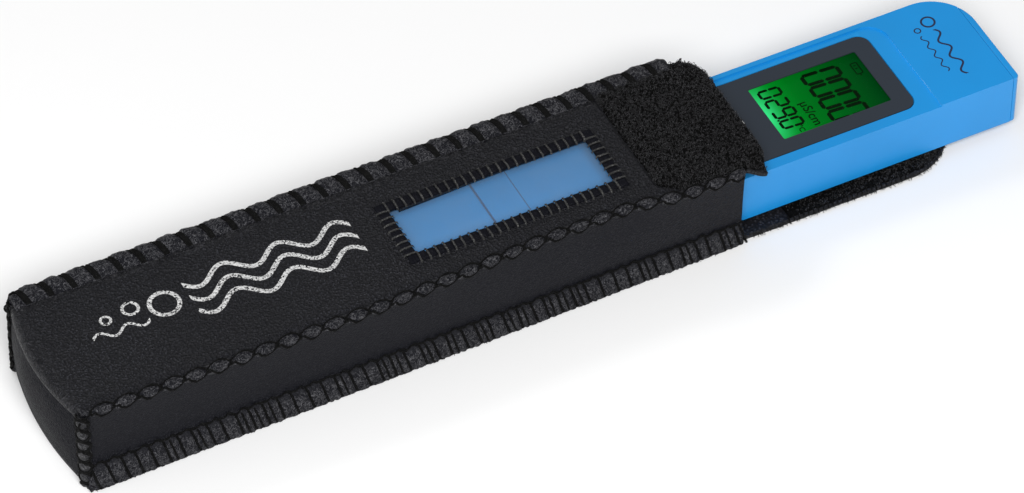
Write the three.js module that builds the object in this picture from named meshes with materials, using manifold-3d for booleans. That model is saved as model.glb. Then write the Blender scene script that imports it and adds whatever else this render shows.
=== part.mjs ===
// A pen-type digital water tester in its sewn leather case.
//
// The tester is a moulded two-part housing with a display, three keys, a pull-out battery drawer and a
// pull-off cap over its electrodes. It lies face up in the case and stands half out of the mouth. The case
// is a front and a back panel joined by two side gussets, with a clear window and a closing flap.
//
// Millimetres, +Z up. +X runs from the closed end of the case to the head of the tester, and the origin is
// at the middle of the whole object's footprint.

import * as THREE from "three";
import { mergeVertices } from "three/addons/utils/BufferGeometryUtils.js";
import Module from "manifold-3d";

const wasm = await Module();
wasm.setup();

// ---- Driving dimensions ----------------------------------------------------------------------------

const LEATHER = 1.3; // thickness of every leather panel
const GAP = 0.05; // between faces that lie on each other
const CASE_LENGTH = 155; // closed end to mouth
const END_BULGE = 3; // how far the closed end bows out at its middle
const CASE_INNER_HALF = 17; // half the width between the gussets
const FRONT_UNDER = 20.5; // underside of the front panel
const SEAM_REACH = 2; // how far each stitched top edge rises, along Y and along Z
const FLANGE_HALF = 20.2; // half the width across the stitched bottom edges
const LIP = 6.5; // front panel past the mouth
const FLAP_LENGTH = 57;
const FLAP_HALF = 17.3;

const TESTER_LENGTH = 154;
const TESTER_HALF = 15;
const TESTER_THICK = 13.3;
const TESTER_LIFT = 2.7; // its underside above the table
const HEAD_REACH = 70; // head past the mouth of the case
const HEAD_STEP = 0.5; // the display face lies this much below the head
const WALL = 1.5;

// ---- Places worked out from them -------------------------------------------------------------------

const TOTAL_LENGTH = END_BULGE + CASE_LENGTH + HEAD_REACH;
const X_CLOSED = END_BULGE - TOTAL_LENGTH / 2;
const X_MOUTH = X_CLOSED + CASE_LENGTH;
const X_LIP = X_MOUTH + LIP;
const X_TAIL = TOTAL_LENGTH / 2 - TESTER_LENGTH;

// ---- Shapes ----------------------------------------------------------------------------------------

// A closed geometry as a manifold solid.
function solid(geometry) {
  const bare = geometry.index ? geometry.toNonIndexed() : geometry.clone();
  bare.deleteAttribute("normal");
  bare.deleteAttribute("uv");
  const merged = mergeVertices(bare, 1e-4);
  return new wasm.Manifold(
    new wasm.Mesh({
      numProp: 3,
      vertProperties: new Float32Array(merged.attributes.position.array),
      triVerts: new Uint32Array(merged.index.array),
    }),
  );
}

// A manifold solid back as a geometry.
function geometryOf(made) {
  const mesh = made.getMesh();
  return new THREE.BufferGeometry()
    .setAttribute("position", new THREE.BufferAttribute(mesh.vertProperties, 3))
    .setIndex(new THREE.BufferAttribute(mesh.triVerts, 1));
}

const cut = (body, ...tools) =>
  geometryOf(tools.reduce((left, tool) => left.subtract(solid(tool)), solid(body)));

const join = (...bodies) =>
  geometryOf(bodies.slice(1).reduce((all, next) => all.add(solid(next)), solid(bodies[0])));

// A box between two corners.
function box([x0, y0, z0], [x1, y1, z1]) {
  return new THREE.BoxGeometry(x1 - x0, y1 - y0, z1 - z0).translate(
    (x0 + x1) / 2,
    (y0 + y1) / 2,
    (z0 + z1) / 2,
  );
}

// An upright cylinder on (x, y), from z0 to z1.
const post = (x, y, r, z0, z1, sides = 24) =>
  new THREE.CylinderGeometry(r, r, z1 - z0, sides)
    .rotateX(Math.PI / 2)
    .translate(x, y, (z0 + z1) / 2);

// A solid of revolution about the X axis, from a profile of (radius, x) points.
const turnedAlongX = (profile, sides = 20) =>
  new THREE.LatheGeometry(
    profile.map(([r, x]) => new THREE.Vector2(r, x)),
    sides,
  ).rotateZ(-Math.PI / 2);

// A plan outline raised from z0 to z1.
const slab = (outline, z0, z1, curveSegments = 8) =>
  new THREE.ExtrudeGeometry(outline, {
    depth: z1 - z0,
    bevelEnabled: false,
    curveSegments,
  }).translate(0, 0, z0);

// A cross-section given as (y, z) points, run along X from x0 to x1.
const ALONG_X = new THREE.Matrix4().makeBasis(
  new THREE.Vector3(0, 1, 0),
  new THREE.Vector3(0, 0, 1),
  new THREE.Vector3(1, 0, 0),
);
function extrusion(section, x0, x1) {
  const outline = section.isShape
    ? section
    : new THREE.Shape(section.map(([y, z]) => new THREE.Vector2(y, z)));
  return new THREE.ExtrudeGeometry(outline, {
    depth: x1 - x0,
    bevelEnabled: false,
    curveSegments: 6,
  })
    .applyMatrix4(ALONG_X)
    .translate(x0, 0, 0);
}

// A rectangle with its own radius at each corner, in the order low-low, high-low, high-high, low-high.
function roundedRect(x0, x1, y0, y1, radii) {
  const [a, b, c, d] = Array.isArray(radii) ? radii : [radii, radii, radii, radii];
  const shape = new THREE.Shape();
  shape.moveTo(x0 + a, y0);
  shape.lineTo(x1 - b, y0);
  if (b) shape.absarc(x1 - b, y0 + b, b, -Math.PI / 2, 0, false);
  shape.lineTo(x1, y1 - c);
  if (c) shape.absarc(x1 - c, y1 - c, c, 0, Math.PI / 2, false);
  shape.lineTo(x0 + d, y1);
  if (d) shape.absarc(x0 + d, y1 - d, d, Math.PI / 2, Math.PI, false);
  shape.lineTo(x0, y0 + a);
  if (a) shape.absarc(x0 + a, y0 + a, a, Math.PI, 1.5 * Math.PI, false);
  shape.closePath();
  return shape;
}

const mirrored = (section) => section.map(([y, z]) => [-y, z]).reverse();

// ---- Materials -------------------------------------------------------------------------------------

const material = (color, roughness, metalness = 0, opacity = 1) =>
  new THREE.MeshStandardMaterial({
    color,
    roughness,
    metalness,
    opacity,
    transparent: opacity < 1,
  });

const leather = material(0x1c1c1f, 0.55);
const thread = material(0x0c0c0c, 0.7);
const hookAndLoop = material(0x101010, 0.95);
const film = material(0xcfe0ef, 0.15, 0, 0.3);
const blueShell = material(0x2f93dc, 0.4);
const labelPrint = material(0x34353f, 0.3);
const acrylic = material(0xe8f0f0, 0.05, 0, 0.3);
const lcdGlass = material(0x14a03c, 0.15);
const whitePlastic = material(0xe9ebe8, 0.35);
const rubber = material(0x30323a, 0.6);
const blackRubber = material(0x151515, 0.75);
const board = material(0x1c6b3a, 0.5);
const chipEpoxy = material(0x101112, 0.5);
const steel = material(0xb8babd, 0.3, 1);
const titanium = material(0x9a9a98, 0.35, 1);
const springSteel = material(0xc9c4b2, 0.3, 1);

function part(name, geometry, look, position = [0, 0, 0]) {
  const mesh = new THREE.Mesh(geometry, look);
  mesh.name = name;
  mesh.position.set(...position);
  return mesh;
}

// ---- The case --------------------------------------------------------------------------------------

const FRONT_TOP = FRONT_UNDER + LEATHER;
const GUSSET_OUTER = CASE_INNER_HALF + LEATHER;
const DIAGONAL = LEATHER * Math.SQRT1_2; // the thickness of a 45 degree layer, along Y or Z
const FOLD_Z = FRONT_UNDER - 0.8; // where the gusset starts to lean out
const SEAM_Y = CASE_INNER_HALF + SEAM_REACH; // the tip of a stitched top edge
const SEAM_Z = FOLD_Z + SEAM_REACH;
const WINDOW = { x0: -29.2, x1: 17.8, y0: -7.7, y1: 6.3, border: 2.7 };

// The bowed part of a panel at the closed end.
function endBow(halfWidth) {
  const radius = (halfWidth ** 2 + END_BULGE ** 2) / (2 * END_BULGE);
  const half = Math.asin(halfWidth / radius);
  const bow = new THREE.Shape();
  const centre = X_CLOSED - END_BULGE + radius;
  bow.moveTo(X_CLOSED + 1, halfWidth);
  bow.absarc(centre, 0, radius, Math.PI - half, Math.PI + half, false);
  bow.lineTo(X_CLOSED + 1, -halfWidth);
  bow.closePath();
  return bow;
}

function backPanel() {
  const sheet = box([X_CLOSED, -FLANGE_HALF, 0], [X_MOUTH, FLANGE_HALF, LEATHER]);
  return join(sheet, slab(endBow(GUSSET_OUTER), 0, LEATHER, 16));
}

// The front panel: flat over the tester, with both long edges turned up where they are stitched.
function frontPanel() {
  const bend = CASE_INNER_HALF + (FRONT_UNDER - FOLD_Z) - GAP * Math.SQRT2;
  const tip = [SEAM_Y - GAP, SEAM_Z + GAP];
  const top = [tip[0] - DIAGONAL, tip[1] + DIAGONAL];
  const shoulder = top[0] - (top[1] - FRONT_TOP);
  const half = [
    [shoulder, FRONT_TOP],
    [top[0], top[1]],
    [tip[0], tip[1]],
    [bend, FRONT_UNDER],
  ];
  const section = [...half, ...mirrored(half)];
  const sheet = extrusion(section, X_CLOSED, X_LIP);
  const bowed = join(sheet, slab(endBow(bend), FRONT_UNDER, FRONT_TOP, 16));
  const opening = box(
    [WINDOW.x0, WINDOW.y0, FRONT_UNDER - 1],
    [WINDOW.x1, WINDOW.y1, FRONT_TOP + 1],
  );
  // The far corner of the lip is rounded off.
  const r = 5;
  const corner = new THREE.Shape();
  corner.moveTo(X_LIP - r, SEAM_Y + 1);
  corner.lineTo(X_LIP - r, SEAM_Y - 1);
  corner.absarc(X_LIP - r, SEAM_Y - 1 - r, r, Math.PI / 2, 0, true);
  corner.lineTo(X_LIP + 1, SEAM_Y - 1 - r);
  corner.lineTo(X_LIP + 1, SEAM_Y + 1);
  corner.closePath();
  return cut(bowed, opening, slab(corner, FRONT_UNDER - 1, SEAM_Z + 4));
}

// A side gusset: a wall with a flange on the back panel and a top edge that leans out under the front's.
function gusset(side) {
  const outerTip = [SEAM_Y + DIAGONAL, SEAM_Z - DIAGONAL];
  const outerBend = outerTip[1] - (outerTip[0] - GUSSET_OUTER);
  const flangeTop = 2 * LEATHER + GAP;
  const section = [
    [CASE_INNER_HALF, LEATHER + GAP],
    [FLANGE_HALF, LEATHER + GAP],
    [FLANGE_HALF, flangeTop],
    [GUSSET_OUTER, flangeTop],
    [GUSSET_OUTER, outerBend],
    outerTip,
    [SEAM_Y, SEAM_Z],
    [CASE_INNER_HALF, FOLD_Z],
  ];
  return extrusion(side > 0 ? section : mirrored(section), X_CLOSED + 1, X_MOUTH);
}

// The wall that closes the end, bowed like the panels that it joins.
function endPanel() {
  const wall = slab(endBow(CASE_INNER_HALF - GAP), LEATHER + GAP, FRONT_UNDER - GAP, 16);
  const inner = slab(endBow(CASE_INNER_HALF - GAP), 0, FRONT_UNDER + 1, 16);
  return cut(wall, inner.translate(LEATHER, 0, 0));
}

// The thread over a stitched top edge.
function topThread(side, x1) {
  const a = [SEAM_Y + DIAGONAL, SEAM_Z - DIAGONAL];
  const b = [SEAM_Y - DIAGONAL, SEAM_Z + DIAGONAL];
  const lift = (d, [y, z]) => [y + d, z + d];
  const section = [lift(GAP, a), lift(0.3, a), lift(0.3, b), lift(GAP, b)];
  return extrusion(side > 0 ? section : mirrored(section), X_CLOSED + 2, x1);
}

const bottomThread = (side) =>
  box(
    [X_CLOSED + 2, side > 0 ? FLANGE_HALF + GAP : -FLANGE_HALF - 0.4, 0.15],
    [X_MOUTH, side > 0 ? FLANGE_HALF + 0.4 : -FLANGE_HALF - GAP, 2 * LEATHER],
  );

// The thread down a corner of the closed end.
const cornerThread = (side) => {
  const y = side * (GUSSET_OUTER + 0.6);
  return box(
    [X_CLOSED - 1.2, y - 0.9, 2 * LEATHER + 0.3],
    [X_CLOSED + 0.8, y + 0.9, FOLD_Z - 1.5],
  );
};

function windowStitching() {
  const { x0, x1, y0, y1, border } = WINDOW;
  const ring = roundedRect(x0 - border, x1 + border, y0 - border, y1 + border, 0.5);
  ring.holes.push(roundedRect(x0, x1, y0, y1, 0.3));
  return slab(ring, FRONT_TOP + GAP, FRONT_TOP + 0.35);
}

function buildCase() {
  const group = new THREE.Group();
  const { x0, x1, y0, y1, border } = WINDOW;
  const filmUnder = FRONT_UNDER - 0.5;
  const patchX0 = X_LIP - 24.4;
  group.add(
    part("back_panel", backPanel(), leather),
    part("front_panel", frontPanel(), leather),
    part("near_gusset", gusset(-1), leather),
    part("far_gusset", gusset(1), leather),
    part("end_panel", endPanel(), leather),
    part(
      "window_film",
      box([x0 - border, y0 - border, filmUnder], [x1 + border, y1 + border, FRONT_UNDER - GAP]),
      film,
    ),
    part(
      "loop_patch",
      slab(roundedRect(patchX0, X_LIP, -16.8, 16.8, [2, 0, 4, 2]), FRONT_TOP + GAP, FRONT_TOP + 1.2),
      hookAndLoop,
    ),
    part("window_stitching", windowStitching(), thread),
    part("near_top_thread", topThread(-1, X_MOUTH), thread),
    part("far_top_thread", topThread(1, X_MOUTH), thread),
    part("near_bottom_thread", bottomThread(-1), thread),
    part("far_bottom_thread", bottomThread(1), thread),
    part("near_corner_thread", cornerThread(-1), thread),
    part("far_corner_thread", cornerThread(1), thread),
  );
  return group;
}

// ---- The flap, which folds about the bottom edge of the mouth ---------------------------------------

function buildFlap() {
  const group = new THREE.Group();
  group.position.set(X_MOUTH, 0, 0);
  const start = 0.3;
  const patchTop = 2.3;
  const radius = 10;
  // The patch's outline, or one drawn in from it by inset.
  const patch = (inset) =>
    roundedRect(
      12 + inset,
      FLAP_LENGTH - 1 - inset,
      -FLAP_HALF + 1 + inset,
      FLAP_HALF - 1 - inset,
      [1, radius - 1 - inset, radius - 1 - inset, 1],
    );
  const seam = patch(0.9);
  seam.holes.push(patch(1.6));
  group.add(
    part(
      "flap_panel",
      slab(roundedRect(start, FLAP_LENGTH, -FLAP_HALF, FLAP_HALF, [0, radius, radius, 0]), 0, LEATHER),
      leather,
    ),
    part("hook_patch", slab(patch(0), LEATHER + GAP, patchTop), hookAndLoop),
    part("hook_patch_thread", slab(seam, patchTop + GAP, patchTop + 0.2), thread),
  );
  return group;
}

// ---- The tester: x from its tail, z from its underside ----------------------------------------------

const CAP_LENGTH = 32.5;
const BODY_START = CAP_LENGTH + 0.3;
const BODY_END = TESTER_LENGTH - 1.5;
const FACE = TESTER_THICK - HEAD_STEP; // the display face
const ROOF = FACE - 2; // underside of the front shell's roof
const HEAD_START = 134.6;
const HEAD_RADIUS = 10.5; // the rounded corner of the head, on the +Y side
const RIM = 1.2; // raised rim along the +Y side
const LENS = { x0: 70.2, x1: 130.2, half: 12.2, radius: 2.8 };
const SCREEN = { x0: 99.3, x1: 125.8, half: 8.3 }; // what shows of the display
const LCD = { x0: 95.3, x1: 126.8, half: 10.2 };
const KEYS = [
  { name: "power_key", x: 88.4, y: 0 },
  { name: "hold_key", x: 77.5, y: 6.2 },
  { name: "mode_key", x: 77.5, y: -6.2 },
];
const KEY_RADIUS = 3.2;
const BOSSES = [
  { name: "rear_screw", x: 52, y: 0 },
  { name: "near_screw", x: 132.5, y: -10.6 },
  { name: "far_screw", x: 132.5, y: 10.6 },
];
const FIT = 0.25; // clearance around a piece that is fitted into another
const NECK = { x0: 27, half: 11.3, z0: 2.3, z1: 10.4 };
const SEAL = { x0: 29.4, x1: 31, seat: 0.65, proud: 0.75 }; // how deep it sits and how far it stands out
const PROBE_Z = (NECK.z0 + NECK.z1) / 2;
const PROBE_PITCH = 5;
const ELECTRODE_RADIUS = 1.2;
const SENSOR_RADIUS = 1.5; // of the temperature probe
const BOARD = { x0: 38.6, x1: 128.4, half: 12.4, z0: 5.4, z1: 6.6 };
const ON_BOARD = BOARD.z1 + GAP;
const UNDER_BOARD = BOARD.z0 - GAP;
const DRAWER = { x0: 128.6, y0: -7.9, y1: 5.9, z0: 3.4, floor: 0.6, back: 8.6, side: 6 };
const CONTACT = { x0: 128.05, thick: 0.25, half: 1.2, z: 9.95 };
const CELL = { radius: 5.75, height: 5.4, y: -1, z: 4.35, outerX: 146.75, innerX: 135.05 };

// The housing from the cap to the end of the head, which the shell and the battery cover are cut from.
const wholeBody = () =>
  slab(
    roundedRect(BODY_START, TESTER_LENGTH, -TESTER_HALF, TESTER_HALF, [0.6, 1, HEAD_RADIUS, 0.6]),
    0,
    TESTER_THICK,
    10,
  );

function frontShell() {
  const blank = cut(wholeBody(), box([BODY_END, -20, -1], [TESTER_LENGTH + 1, 20, 20]));
  const inset = WALL;
  const hollow = slab(
    roundedRect(
      BODY_START + inset,
      BODY_END - inset,
      -TESTER_HALF + inset,
      TESTER_HALF - inset,
      [0.5, 0.5, HEAD_RADIUS - inset, 0.5],
    ),
    -1,
    ROOF,
    10,
  );
  const face = slab(
    roundedRect(BODY_START - 1, HEAD_START, -TESTER_HALF - 1, TESTER_HALF - RIM, [0, 0, 5, 0]),
    FACE,
    TESTER_THICK + 1,
  );
  const pocket = slab(
    roundedRect(LENS.x0 - 0.2, LENS.x1 + 0.2, -LENS.half - 0.2, LENS.half + 0.2, LENS.radius + 0.2),
    FACE - 1.2,
    FACE + 1,
  );
  const lcdHole = box([LCD.x0 - 0.3, -LCD.half - 0.3, ROOF - 1], [LCD.x1 + 0.3, LCD.half + 0.3, FACE]);
  const keyHoles = KEYS.map((k) => post(k.x, k.y, KEY_RADIUS + FIT, ROOF - 1, FACE));
  const neckHole = box(
    [BODY_START - 1, -NECK.half - FIT, NECK.z0 - FIT],
    [BODY_START + inset + 1, NECK.half + FIT, NECK.z1 + FIT],
  );
  const drawerHole = box(
    [BODY_END - inset - 1, DRAWER.y0 - 2 * FIT, DRAWER.z0 - 0.4],
    [BODY_END + 1, DRAWER.y1 + 2 * FIT, ROOF - 0.3],
  );
  const shell = cut(blank, hollow, face, pocket, lcdHole, ...keyHoles, neckHole, drawerHole);
  const bosses = BOSSES.map(({ x, y }) => post(x, y, 2.1, 1.7, ROOF + 0.5));
  const bores = BOSSES.map(({ x, y }) => post(x, y, 1, 0, 8, 16));
  return cut(join(shell, ...bosses), ...bores);
}

function rearCover() {
  const inset = WALL + 0.15;
  const plate = slab(
    roundedRect(
      BODY_START + inset,
      BODY_END - inset,
      -TESTER_HALF + inset,
      TESTER_HALF - inset,
      [0.4, 0.4, HEAD_RADIUS - inset, 0.4],
    ),
    0,
    WALL,
    10,
  );
  const holes = BOSSES.flatMap(({ x, y }) => [post(x, y, 2.2, -1, 0.85), post(x, y, 1.1, 0, 3, 16)]);
  return cut(plate, ...holes);
}

const screw = () => join(post(0, 0, 1.9, 0.05, 0.8), post(0, 0, 0.85, 0.4, 7, 16));

function lensPlate(z0, z1, withScreen) {
  const outline = roundedRect(LENS.x0, LENS.x1, -LENS.half, LENS.half, LENS.radius);
  if (withScreen) outline.holes.push(roundedRect(SCREEN.x0, SCREEN.x1, -SCREEN.half, SCREEN.half, 0.4));
  return cut(
    slab(outline, z0, z1),
    ...KEYS.map((k) => post(k.x, k.y, KEY_RADIUS + FIT, z0 - 1, z1 + 1)),
  );
}

function lcdFrame() {
  const outer = box([LCD.x0 - 1.1, -12.3, ON_BOARD + GAP], [LCD.x1 + 1.1, 12.3, 10.6]);
  const inner = box([LCD.x0 - 0.3, -LCD.half - FIT, 6], [LCD.x1 + 0.3, LCD.half + FIT, 11]);
  return cut(outer, inner);
}

// The circuit board, with a hole for the boss that passes it.
function circuitBoard() {
  const sheet = box([BOARD.x0, -BOARD.half, BOARD.z0], [BOARD.x1, BOARD.half, BOARD.z1]);
  return cut(sheet, post(BOSSES[0].x, BOSSES[0].y, 2.4, BOARD.z0 - 1, BOARD.z1 + 1));
}

const tactSwitch = () =>
  join(box([-2.3, -2.3, ON_BOARD], [2.3, 2.3, 8.2]), post(0, 0, 1.3, 8, 8.6, 16));

// A key: a crowned cap over a flange that the roof holds back, and a stem over the switch.
function key() {
  const profile = [
    [0, 9.15],
    [1.2, 9.15],
    [1.2, 9.7],
    [4.1, 9.7],
    [4.1, 10.6],
    [KEY_RADIUS, 10.6],
    [KEY_RADIUS, 13.2],
    [KEY_RADIUS - 0.5, 13.5],
    [0, 13.7],
  ];
  return new THREE.LatheGeometry(
    profile.map(([r, z]) => new THREE.Vector2(r, z)),
    24,
  ).rotateX(Math.PI / 2);
}

function probeHolder() {
  const neck = box([NECK.x0, -NECK.half, NECK.z0], [BODY_START + WALL + 0.6, NECK.half, NECK.z1]);
  const flange = box([BODY_START + WALL + 0.1, -13, 1.7], [36.6, 13, ROOF - 0.15]);
  const depth = SEAL.seat + GAP;
  const sealSeat = cut(
    box([SEAL.x0 - 0.1, -20, -5], [SEAL.x1 + 0.1, 20, 20]),
    box([NECK.x0, -NECK.half + depth, NECK.z0 + depth], [32, NECK.half - depth, NECK.z1 - depth]),
  );
  const bores = [-PROBE_PITCH, 0, PROBE_PITCH].map((y) => {
    const radius = (y ? ELECTRODE_RADIUS : SENSOR_RADIUS) + GAP;
    return turnedAlongX([[0, 20], [radius, 20], [radius, 45], [0, 45]]).translate(0, y, PROBE_Z);
  });
  return cut(join(neck, flange), sealSeat, ...bores);
}

// The seal in the neck's groove, just clear of the cap.
function neckSeal() {
  const { x0, x1, seat, proud } = SEAL;
  const outer = box([x0, -NECK.half - proud, NECK.z0 - proud], [x1, NECK.half + proud, NECK.z1 + proud]);
  const inner = box(
    [x0 - 1, -NECK.half + seat, NECK.z0 + seat],
    [x1 + 1, NECK.half - seat, NECK.z1 - seat],
  );
  return cut(outer, inner);
}

const pin = (radius, start, end, tip) =>
  turnedAlongX([
    [0, start],
    [radius * 0.6, start + tip * 0.25],
    [radius, start + tip],
    [radius, end],
    [0, end],
  ]);

// A leaf contact over one cell, with a foot on the circuit board.
const leafContact = (y, reach) => {
  const { x0, thick, half, z } = CONTACT;
  return join(
    box([x0, y - half, z], [reach, y + half, z + thick]),
    box([x0, y - half, ON_BOARD], [x0 + thick, y + half, z + thick]),
  );
};

function probeCap() {
  const shell = slab(
    roundedRect(0, CAP_LENGTH, -TESTER_HALF, TESTER_HALF, [4, 0.6, 0.6, 4]),
    0,
    FACE,
  );
  const hollow = box([1.8, -12.2, 1.4], [CAP_LENGTH + 1, 12.2, 11.3]);
  return cut(shell, hollow);
}

const batteryCover = () => cut(wholeBody(), box([0, -20, -1], [BODY_END + 0.12, 20, 20]));

// The drawer behind the battery cover: a floor, a back wall and two low sides beside the cells.
function batteryTray() {
  const { x0, y0, y1, z0, floor, back, side } = DRAWER;
  const x1 = BODY_END + 0.07;
  const inFloor = z0 + floor / 3; // where the walls start, so that they join it
  return join(
    box([x0, y0, z0], [x1, y1, z0 + floor]),
    box([x0, y0, inFloor], [x0 + 0.5, y1, back]),
    box([x0, y0, inFloor], [x1, y0 + 0.8, side]),
    box([x0, y1 - 0.8, inFloor], [x1, y1, side]),
  );
}

const bridgeContact = () =>
  box(
    [CELL.innerX - 2, CELL.y - 2, DRAWER.z0 + DRAWER.floor + GAP],
    [CELL.outerX + 2, CELL.y + 2, CELL.z - GAP],
  );

function buildTester() {
  const group = new THREE.Group();
  group.position.set(X_TAIL, 0, TESTER_LIFT);
  group.add(
    part("probe_cap", probeCap(), blueShell),
    part("front_shell", frontShell(), blueShell),
    part("rear_cover", rearCover(), blueShell),
    part("lens_plate", lensPlate(FACE - 1.15, FACE - 0.3, false), acrylic),
    part("face_label", lensPlate(FACE - 0.25, FACE, true), labelPrint),
    part("lcd_panel", box([LCD.x0, -LCD.half, 10.2], [LCD.x1, LCD.half, FACE - 1.3]), lcdGlass),
    part("lcd_frame", lcdFrame(), blackRubber),
    part("light_guide", box([99, -9.8, 7.9], [126.5, 9.8, 9.9]), whitePlastic),
    part("backlight_led", box([97.5, -2, 7.9], [98.8, 2, 9.9]), whitePlastic),
    part("contact_strip", box([95.5, -9.6, 6.7], [97.2, 9.6, 10.1]), rubber),
    part("circuit_board", circuitBoard(), board),
    part("controller_chip", box([60, -4.5, 4.2], [69, 4.5, UNDER_BOARD]), chipEpoxy),
    part("crystal", box([44, 5, 3.6], [50, 7.2, UNDER_BOARD]), steel),
    part("probe_holder", probeHolder(), whitePlastic),
    part("neck_seal", neckSeal(), blackRubber),
    part("electrode_left", pin(ELECTRODE_RADIUS, 15, 38.4, 0.8), titanium, [0, PROBE_PITCH, PROBE_Z]),
    part("electrode_right", pin(ELECTRODE_RADIUS, 15, 38.4, 0.8), titanium, [0, -PROBE_PITCH, PROBE_Z]),
    part("temperature_probe", pin(SENSOR_RADIUS, 17.5, 38.2, 1.5), steel, [0, 0, PROBE_Z]),
    part("plus_contact", leafContact(1.4, CELL.outerX + 2), springSteel),
    part("minus_contact", leafContact(-3.4, CELL.innerX + 2), springSteel),
    part("battery_cover", batteryCover(), blueShell),
    part("battery_tray", batteryTray(), blackRubber),
    part("bridge_contact", bridgeContact(), springSteel),
  );
  const { radius, height, y, z, outerX, innerX } = CELL;
  group.add(
    part("outer_cell", post(0, 0, radius, z, z + height, 32), steel, [outerX, y, 0]),
    part("inner_cell", post(0, 0, radius, z, z + height, 32), steel, [innerX, y, 0]),
  );
  for (const b of BOSSES) {
    group.add(part(b.name, screw(), steel, [b.x, b.y, 0]));
  }
  for (const k of KEYS) {
    group.add(
      part(k.name, key(), rubber, [k.x, k.y, 0]),
      part(k.name.replace("key", "switch"), tactSwitch(), blackRubber, [k.x, k.y, 0]),
    );
  }
  return group;
}

const waterTester = new THREE.Group();
waterTester.add(buildCase(), buildFlap(), buildTester());

export default waterTester;
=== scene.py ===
"""A digital water tester, half drawn from its stitched leather case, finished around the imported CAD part."""

import math
import random

import bmesh
import bpy
from bpy.props import BoolProperty, FloatProperty, FloatVectorProperty, PointerProperty
from mathutils import Matrix, Quaternion, Vector, noise


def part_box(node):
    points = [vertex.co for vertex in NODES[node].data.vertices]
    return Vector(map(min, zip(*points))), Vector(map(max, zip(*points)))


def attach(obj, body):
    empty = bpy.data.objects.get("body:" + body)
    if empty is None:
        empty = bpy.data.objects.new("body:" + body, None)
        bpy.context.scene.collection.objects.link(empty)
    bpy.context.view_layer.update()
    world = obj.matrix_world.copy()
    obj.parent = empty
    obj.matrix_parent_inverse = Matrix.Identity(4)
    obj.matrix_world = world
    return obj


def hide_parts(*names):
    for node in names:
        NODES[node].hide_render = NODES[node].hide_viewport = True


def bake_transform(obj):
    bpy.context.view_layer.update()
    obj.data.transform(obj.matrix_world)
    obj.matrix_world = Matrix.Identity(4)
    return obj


bl_info = {
    "name": "Water tester and case",
    "version": (1, 0, 0),
    "blender": (4, 5, 0),
    "location": "View3D > Sidebar > Water tester",
    "description": "Leather, stitching, housing, display and stage for a pen-type water tester in its case",
    "category": "Object",
}

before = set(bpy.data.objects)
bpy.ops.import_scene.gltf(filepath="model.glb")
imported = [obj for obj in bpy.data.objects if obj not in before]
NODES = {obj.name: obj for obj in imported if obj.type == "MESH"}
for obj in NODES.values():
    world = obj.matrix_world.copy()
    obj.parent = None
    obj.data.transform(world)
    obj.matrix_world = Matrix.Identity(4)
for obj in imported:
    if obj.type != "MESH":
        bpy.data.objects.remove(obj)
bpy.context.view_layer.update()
MM = 0.001

# Radii of the threads and fibres. Sizes are in millimetres unless a comment says metres.
FOOT_THREAD = 0.15
CORNER_THREAD = 0.26
WINDOW_THREAD = 0.11
FLAP_THREAD = 0.15
FOOT_FIBRE = 0.045
FLAP_FIBRE = 0.05
LOOP_FIBRE = 0.06
HOOK_FIBRE = 0.07
FIBRE_LOW = 0.06  # the least height of a loose fibre over the table

# ---- Places read from the frame, in millimetres ----------------------------------------------------


def low(node):
    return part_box(node)[0] / MM


def high(node):
    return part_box(node)[1] / MM


CLOSED_TIP = low("back_panel").x  # the middle of the bowed closed end
CLOSED = low("near_gusset").x - 1.0  # its corners
BOW = CLOSED - CLOSED_TIP
MOUTH = high("back_panel").x
LIP = high("front_panel").x
TOP = low("window_stitching").z - 0.05  # upper face of the front panel
WALL_Y = high("end_panel").y + 1.35  # outer face of a side wall
FLANGE_Y = high("back_panel").y
FLAP_END = high("flap_panel").x
FLAP_HALF = high("flap_panel").y
TAIL = low("probe_cap").x
CAP_END = high("probe_cap").x
HEAD = high("battery_cover").x
FACE = high("face_label").z
LCD_TOP = high("lcd_panel").z
TESTER_HALF = high("front_shell").y
HOUSING_TOP = high("front_shell").z

# ---- Shared helpers --------------------------------------------------------------------------------


def ramp(a, b, x):
    """0 below a, 1 above b and smooth between."""
    t = min(1.0, max(0.0, (x - a) / (b - a)))
    return t * t * (3 - 2 * t)


def bump(x, width):
    """A smooth hill of height 1 at x = 0."""
    return math.exp(-((x / width) ** 2))


def lump(x, y, z, size, seed=0.0):
    """Smooth noise from -1 to 1 with features about size millimetres across."""
    return noise.noise(Vector((x / size + seed, y / size - seed, z / size + 0.5 * seed)))


def smooth_path(points, per_span):
    """Points on a Catmull-Rom curve through the given ones."""
    pts = [Vector(p) for p in points]
    pts = [2 * pts[0] - pts[1], *pts, 2 * pts[-1] - pts[-2]]
    out = []
    for i in range(1, len(pts) - 2):
        a, b, c, d = pts[i - 1 : i + 3]
        for k in range(per_span):
            t = k / per_span
            out.append(
                0.5
                * (
                    2 * b
                    + (c - a) * t
                    + (2 * a - 5 * b + 4 * c - d) * t * t
                    + (3 * b - a - 3 * c + d) * t**3
                )
            )
    out.append(pts[-2])
    return out


def link_piece(name, mesh, material, body):
    """Links a mesh as a piece of one material, which rides on a body if one is named."""
    mesh.materials.clear()
    mesh.materials.append(material)
    piece = bpy.data.objects.new(name, mesh)
    bpy.context.scene.collection.objects.link(piece)
    if body:
        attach(piece, body)
    return piece


def new_object(name, bm, material, body, smooth=True, outward=None):
    """Links a finished bmesh, in metres, with its faces turned to look along outward."""
    if outward is not None:
        bm.normal_update()
        facing = sum(f.normal.dot(outward) * f.calc_area() for f in bm.faces)
        if facing < 0:
            bmesh.ops.reverse_faces(bm, faces=bm.faces)
    mesh = bpy.data.meshes.new(name)
    bm.to_mesh(mesh)
    bm.free()
    if smooth:
        mesh.shade_smooth()
    return link_piece(name, mesh, material, body)


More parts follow.
